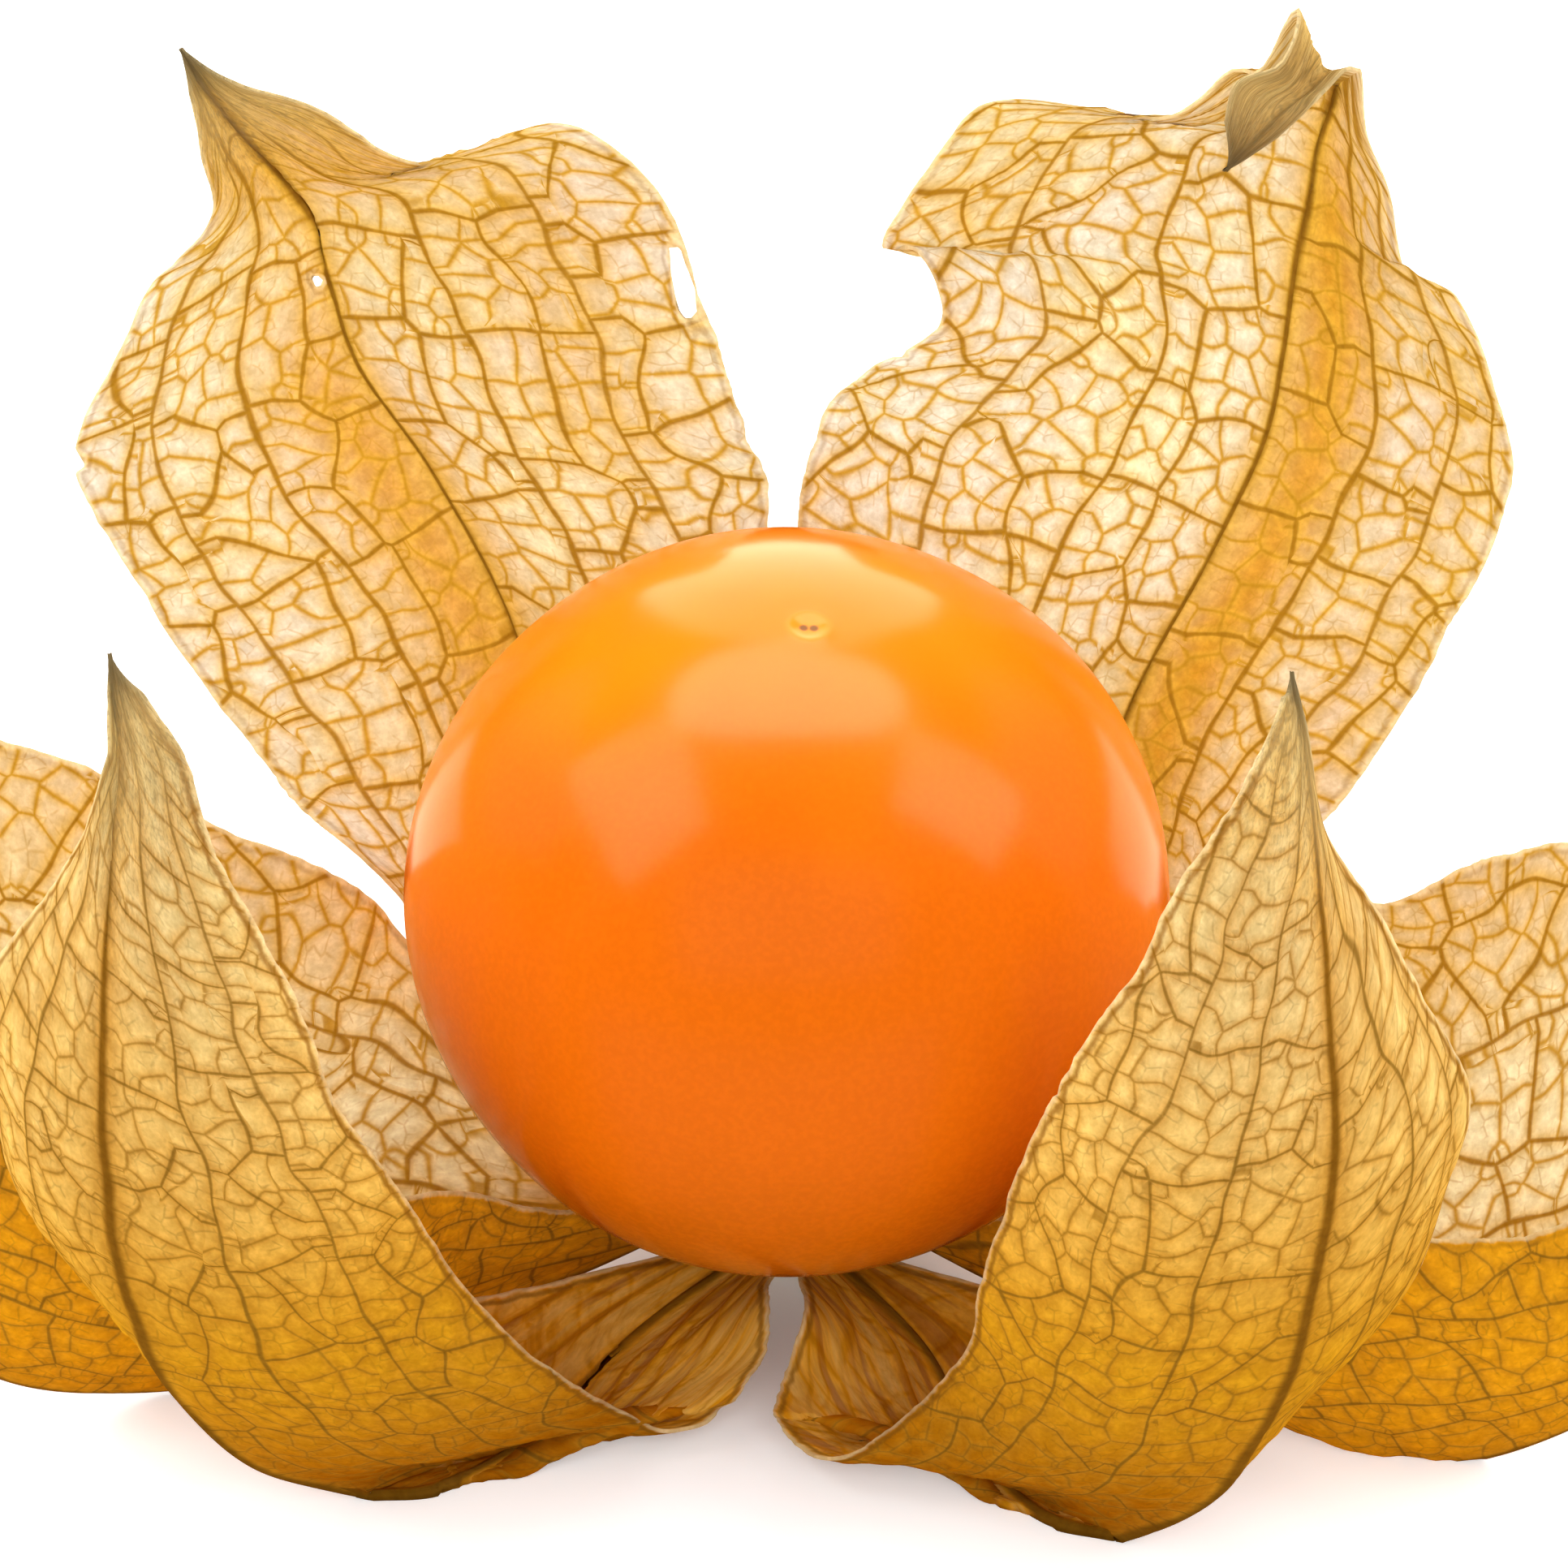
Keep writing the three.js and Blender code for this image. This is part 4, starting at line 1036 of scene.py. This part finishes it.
def turnedObject(name, radii, heights, segments, shape, lean=(0.0, 0.0), lift=0.0):
    # closed body of revolution with poles, in mm; shape changes the rings by their angle
    angle = np.linspace(0, 2 * np.pi, segments, endpoint=False)
    radius = np.repeat(np.asarray(radii)[:, None], segments, 1)
    height = np.repeat(np.asarray(heights)[:, None], segments, 1)
    radius, height = shape(angle[None, :], radius, height)
    points = np.stack([radius * np.cos(angle), radius * np.sin(angle), height], -1).reshape(-1, 3)
    points = np.concatenate([points, [[0, 0, height[0].mean()], [0, 0, height[-1].mean()]]])
    a, b = (math.radians(v) for v in lean)
    turnY = np.array([[math.cos(b), 0, math.sin(b)], [0, 1, 0], [-math.sin(b), 0, math.cos(b)]])
    turnX = np.array([[1, 0, 0], [0, math.cos(a), -math.sin(a)], [0, math.sin(a), math.cos(a)]])
    points = points @ (turnX @ turnY).T
    points[:, 2] += lift
    rings = len(radii)
    faces = []
    for ring in range(0, (rings - 1) * segments, segments):
        for s in range(segments):
            n = (s + 1) % segments
            faces.append([ring + s, ring + n, ring + segments + n, ring + segments + s])
    low, top, last = rings * segments, rings * segments + 1, (rings - 1) * segments
    caps = [[low, (s + 1) % segments, s] for s in range(segments)]
    caps += [[top, last + s, last + (s + 1) % segments] for s in range(segments)]
    mesh = bpy.data.meshes.new(name)
    mesh.from_pydata((points * mm + centre).tolist(), [], faces + caps)
    mesh.polygons.foreach_set("use_smooth", [True] * len(mesh.polygons))
    mesh.update()
    return addObject(name, mesh)


def berryObject():
    latitude = -np.pi / 2 + np.pi * (np.arange(berry["rings"]) + berry["ringShift"]) / berry["rings"]
    scar = np.array(berry["scarRings"])
    latitude = np.concatenate([latitude[latitude < np.pi / 2 - berry["scarFrom"]],
                               np.pi / 2 - scar / berry["radius"]])

    def shape(angle, radius, height):
        side = np.maximum(0, 1 - (height / berry["halfHeight"]) ** 2)
        furrow = side * (0.5 + 0.5 * np.cos(berry["furrows"] * angle + berry["furrowTurn"]))
        # a pale lip round a small dish, in a wide shallow hollow
        r = radius / berry["scarRadius"]
        raised, place, width = berry["lip"]
        sunk, dishRadius = berry["dish"]
        lip = raised * np.exp(-((r - place) / width) ** 2) - sunk * np.exp(-(r / dishRadius) ** 4)
        depth, hollowRadius = berry["hollow"]
        hollow = -depth * np.exp(-(radius / hollowRadius) ** 2)
        return radius * (1 - berry["waist"] * furrow), height + np.where(height > 0, lip + hollow, 0)

    # it leans about x first, then y, as the node that it replaces does
    return turnedObject(
        "berrySkin", berry["radius"] * np.cos(latitude), berry["halfHeight"] * np.sin(latitude),
        berry["segments"], shape, (berry["leanForward"], berry["leanRight"]), berry["centreHeight"])


def berryMaterial():
    material, tree = newMaterial("berrySkin")
    spot = makeNode(tree, "ShaderNodeTexCoord").outputs["Object"]
    local = vectors("SUBTRACT", spot, tuple(centre + [0, 0, berry["centreHeight"] * mm]))
    local = vectors("SCALE", local, scale=1 / mm)
    _, back, high = split(local)
    wave = minus(noise(local, *berry["levelNoise"], flatMap=False), 0.5)
    grain = noise(local, *berry["grainNoise"], flatMap=False)
    lean = (math.sin(math.radians(berry["leanRight"])), -math.sin(math.radians(berry["leanForward"])), 1.0)
    scar = Vector(lean).normalized() * (berry["halfHeight"] - berry["poreDepth"])
    fromScar, *fromPores = (measure("DISTANCE", local, tuple(scar + Vector((x, 0.0, 0.0))))
                            for x in (0.0, *berry["poresAt"]))
    fields = {"level": plus(high, times(wave, berry["levelWave"])), "back": back,
              "grain": grain, "fromScar": fromScar, "fromPore": smaller(*fromPores)}
    colour = laidOver(berry["low"], berry["layers"], fields, berry)
    fineBump = makeNode(tree, "ShaderNodeBump", {"Strength": 0.06, "Distance": 0.03 * mm, "Height": grain})
    waveBump = makeNode(tree, "ShaderNodeBump", {
        "Strength": 0.12, "Distance": 0.3 * mm, "Normal": fineBump.outputs[0],
        "Height": noise(local, *berry["waveNoise"], flatMap=False)})
    skin = makeNode(tree, "ShaderNodeBsdfPrincipled", {
        "Base Color": colour, "Roughness": berry["roughness"], "Specular IOR Level": berry["gloss"],
        "Subsurface Weight": 0.12, "Subsurface Radius": (1.0, 0.3, 0.05),
        "Subsurface Scale": 1.2 * mm, "Normal": waveBump.outputs[0]})
    makeNode(tree, "ShaderNodeOutputMaterial", {"Surface": skin.outputs[0]})
    return material


base = {
    # height and radius in mm: out over the stalk's cut end, up the stalk and the cup, and in over its top
    "profile": [(0.27, 0.15), (0.25, 0.5), (0.27, 0.7), (0.32, 0.78), (0.5, 0.8), (0.7, 0.82), (0.9, 0.9),
                (1.0, 1.02), (1.1, 1.18), (1.25, 1.38), (1.4, 1.58), (1.55, 1.8), (1.68, 2.15),
                (1.76, 2.42), (1.9, 2.42), (2.02, 2.1), (2.1, 1.7), (2.14, 1.2), (2.16, 0.7),
                (2.14, 0.25)],
    "segments": 120,
    "ribs": (10, 0.05),  # count round the side, and height as a share of the radius
    "fineRibs": (23, 0.02),
    "ribbed": (0.3, 1.7),  # mm, the heights between which they run
    "dark": (0.30, 0.17, 0.045),
    "light": (0.62, 0.42, 0.14),
    "cutEnd": (0.75, 0.62, 0.38),
    "layers": (("streak", (0.35, 0.7), "light"), ("high", (0.26, 0.4, 0.7, 0.0), "cutEnd")),
    "streakStretch": (3.0, 3.0, 0.7),
    "streakNoise": (1.4, 4.0),
}


def baseObject():
    heights, radii = np.array(base["profile"]).T

    def shape(angle, radius, height):
        lowest, highest = base["ribbed"]
        (ribs, depth), (fineRibs, fineDepth) = base["ribs"], base["fineRibs"]
        ridge = depth * np.cos(ribs * angle) + fineDepth * np.cos(fineRibs * angle + 1)
        return radius * (1 + np.where((height < highest) & (height > lowest), ridge, 0)), height

    return turnedObject("calyxCup", radii, heights, base["segments"], shape)


def baseMaterial():
    material, tree = newMaterial("dryStalk")
    spot = makeNode(tree, "ShaderNodeTexCoord").outputs["Object"]
    local = vectors("SCALE", vectors("SUBTRACT", spot, tuple(centre)), scale=1 / mm)
    streak = noise(stretched(local, base["streakStretch"]), *base["streakNoise"], flatMap=False)
    fields = {"streak": streak, "high": split(local)[2]}
    colour = laidOver(base["dark"], base["layers"], fields, base)
    bump = makeNode(tree, "ShaderNodeBump", {"Strength": 0.5, "Distance": 0.08 * mm, "Height": streak})
    skin = makeNode(tree, "ShaderNodeBsdfPrincipled", {
        "Base Color": colour, "Roughness": 0.75, "Specular IOR Level": 0.3, "Normal": bump.outputs[0]})
    makeNode(tree, "ShaderNodeOutputMaterial", {"Surface": skin.outputs[0]})
    return material


huskPaper = huskMaterial(netGroup())
huskRelief = reliefTree()
for side in lobes:
    piece = lobeObject(side)
    settle(piece, huskRelief, {
        "Cell Puff": husk["cellPuff"] * mm, "Small Puff": husk["smallPuff"] * mm,
        "Rib Raise": husk["ribRaise"] * mm, "Vein Raise": husk["veinRaise"] * mm, "Material": huskPaper})
    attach(piece, "root")
    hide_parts("husk_lobe_" + side)
    print(piece.name, len(piece.data.polygons), "faces")

skin = berryObject()
skin.data.materials.append(berryMaterial())
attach(skin, "root")
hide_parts("berry")
print("berry made")

cup = baseObject()
cup.data.materials.append(baseMaterial())
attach(cup, "root")
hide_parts("calyx_base")
print("calyx base made")


studio = {
    "floorSize": 3.0,  # m
    "floorColour": (0.93, 0.93, 0.93, 1.0),
    # painted light: a glow on the floor that only the camera sees
    "floorCameraGlow": (0.004, 0.016, 0.0, 0.36),  # m from the middle, and how much lighter the camera sees it
    "world": 0.54,
    "shineColour": (1.0, 0.93, 0.68),
    "aim": (0.0, 0.0, 0.012),  # m
    # direction from the berry, distance, width and height in m, radiance, shape if not a rectangle
    "boxes": {
        "overheadBox": ((0.0, 0.27, 0.96), 0.6, 0.62, 0.32, 2.2),
        "leftBox": ((-0.58, -0.11, 0.81), 0.7, 0.26, 0.26, 3.4),
        "rightBox": ((0.66, -0.11, 0.76), 0.7, 0.26, 0.26, 3.4),
        "backBox": ((0.0, 0.9, 0.35), 0.7, 1.0, 0.4, 0.6),
        "frontBox": ((0.0, -0.8, 0.6), 0.9, 1.1, 0.6, 2.0),
        "leftGlow": ((-0.87, 0.38, 0.3), 0.6, 0.5, 0.34, 8.0),
        "rightGlow": ((0.87, 0.38, 0.3), 0.6, 0.5, 0.34, 6.3),
    },
    # the same, for panels that are seen in the berry's gloss alone
    "shines": {
        "leftEdgeShine": ((-0.6, 0.72, -0.34), 0.7, 0.6, 0.3, 2.2),
        "rightEdgeShine": ((0.6, 0.74, -0.33), 0.7, 0.6, 0.3, 2.2),
        "lensShine": ((0.01, 0.342, 0.94), 0.6, 0.64, 0.37, 11.5, "ELLIPSE"),
        "domeShine": ((0.01, 0.909, 0.416), 0.7, 0.56, 0.76, 5.6, "ELLIPSE"),
        "leftShine": ((-0.646, -0.068, 0.758), 0.7, 0.5, 0.43, 6.0),
        "rightShine": ((0.722, -0.014, 0.693), 0.7, 0.34, 0.43, 6.0),
    },
    "eye": (0.075, -205.671, 174.660),  # mm
    "target": (0.075, -0.788, 14.588),
    "lens": 230.0,
    "sensor": 36.0,
}


def studioFloor():
    h = studio["floorSize"] / 2
    mesh = bpy.data.meshes.new("floor")
    mesh.from_pydata([(-h, -h, 0), (h, -h, 0), (h, h, 0), (-h, h, 0)], [], [(0, 1, 2, 3)])
    material = bpy.data.materials.new("paleFloor")
    material.use_nodes = True
    tree = material.node_tree
    sockets = tree.nodes["Principled BSDF"].inputs
    sockets["Emission Color"].default_value = (1.0, 1.0, 1.0, 1.0)
    sockets["Base Color"].default_value = studio["floorColour"]
    sockets["Roughness"].default_value = 0.9
    sockets["Specular IOR Level"].default_value = 0.1
    # a pale floor with painted light: a glow that only the camera sees lightens its soft shadows away from
    # the middle
    fromMiddle = measure("LENGTH", makeNode(tree, "ShaderNodeTexCoord").outputs["Object"])
    seen = makeNode(tree, "ShaderNodeLightPath").outputs["Is Camera Ray"]
    cameraGlow = times(ramp(fromMiddle, *studio["floorCameraGlow"]), seen)
    tree.links.new(cameraGlow, sockets["Emission Strength"])
    mesh.materials.append(material)
    floor = addObject("floor", mesh)
    floor.visible_glossy = False


def softPanel(name, shines, direction, distance, width, height, radiance, shape="RECTANGLE"):
    # an area light that either gives light or is seen in the gloss
    light = bpy.data.lights.new(name, "AREA")
    light.shape = shape
    light.size, light.size_y = width, height
    light.color = studio["shineColour"] if shines else (1.0, 1.0, 1.0)
    light.energy = radiance * math.pi * width * height * (math.pi / 4 if shape == "ELLIPSE" else 1)
    panel = addObject(name, light)
    away = Vector(direction).normalized()
    panel.location = Vector(studio["aim"]) + away * distance
    panel.rotation_euler = away.to_track_quat("Z", "Y").to_euler()
    panel.visible_glossy = shines
    panel.visible_diffuse = not shines
    panel.visible_transmission = not shines


def studioCamera():
    camera = bpy.data.cameras.new("camera")
    camera.lens = studio["lens"]
    camera.sensor_width = studio["sensor"]
    eye, target = Vector(studio["eye"]) * mm, Vector(studio["target"]) * mm
    viewer = addObject("camera", camera)
    viewer.location = eye
    viewer.rotation_euler = (target - eye).to_track_quat("-Z", "Y").to_euler()
    bpy.context.scene.camera = viewer


studioFloor()
world = bpy.data.worlds.new("studio")
bpy.context.scene.world = world
world.use_nodes = True
world.node_tree.nodes["Background"].inputs[0].default_value = (1.0, 1.0, 1.0, 1.0)
world.node_tree.nodes["Background"].inputs[1].default_value = studio["world"]
world.cycles_visibility.glossy = False
for kind in ("boxes", "shines"):
    for name, values in studio[kind].items():
        softPanel(name, kind == "shines", *values)
studioCamera()
bpy.context.scene.view_settings.view_transform = "Standard"
print("studio made")
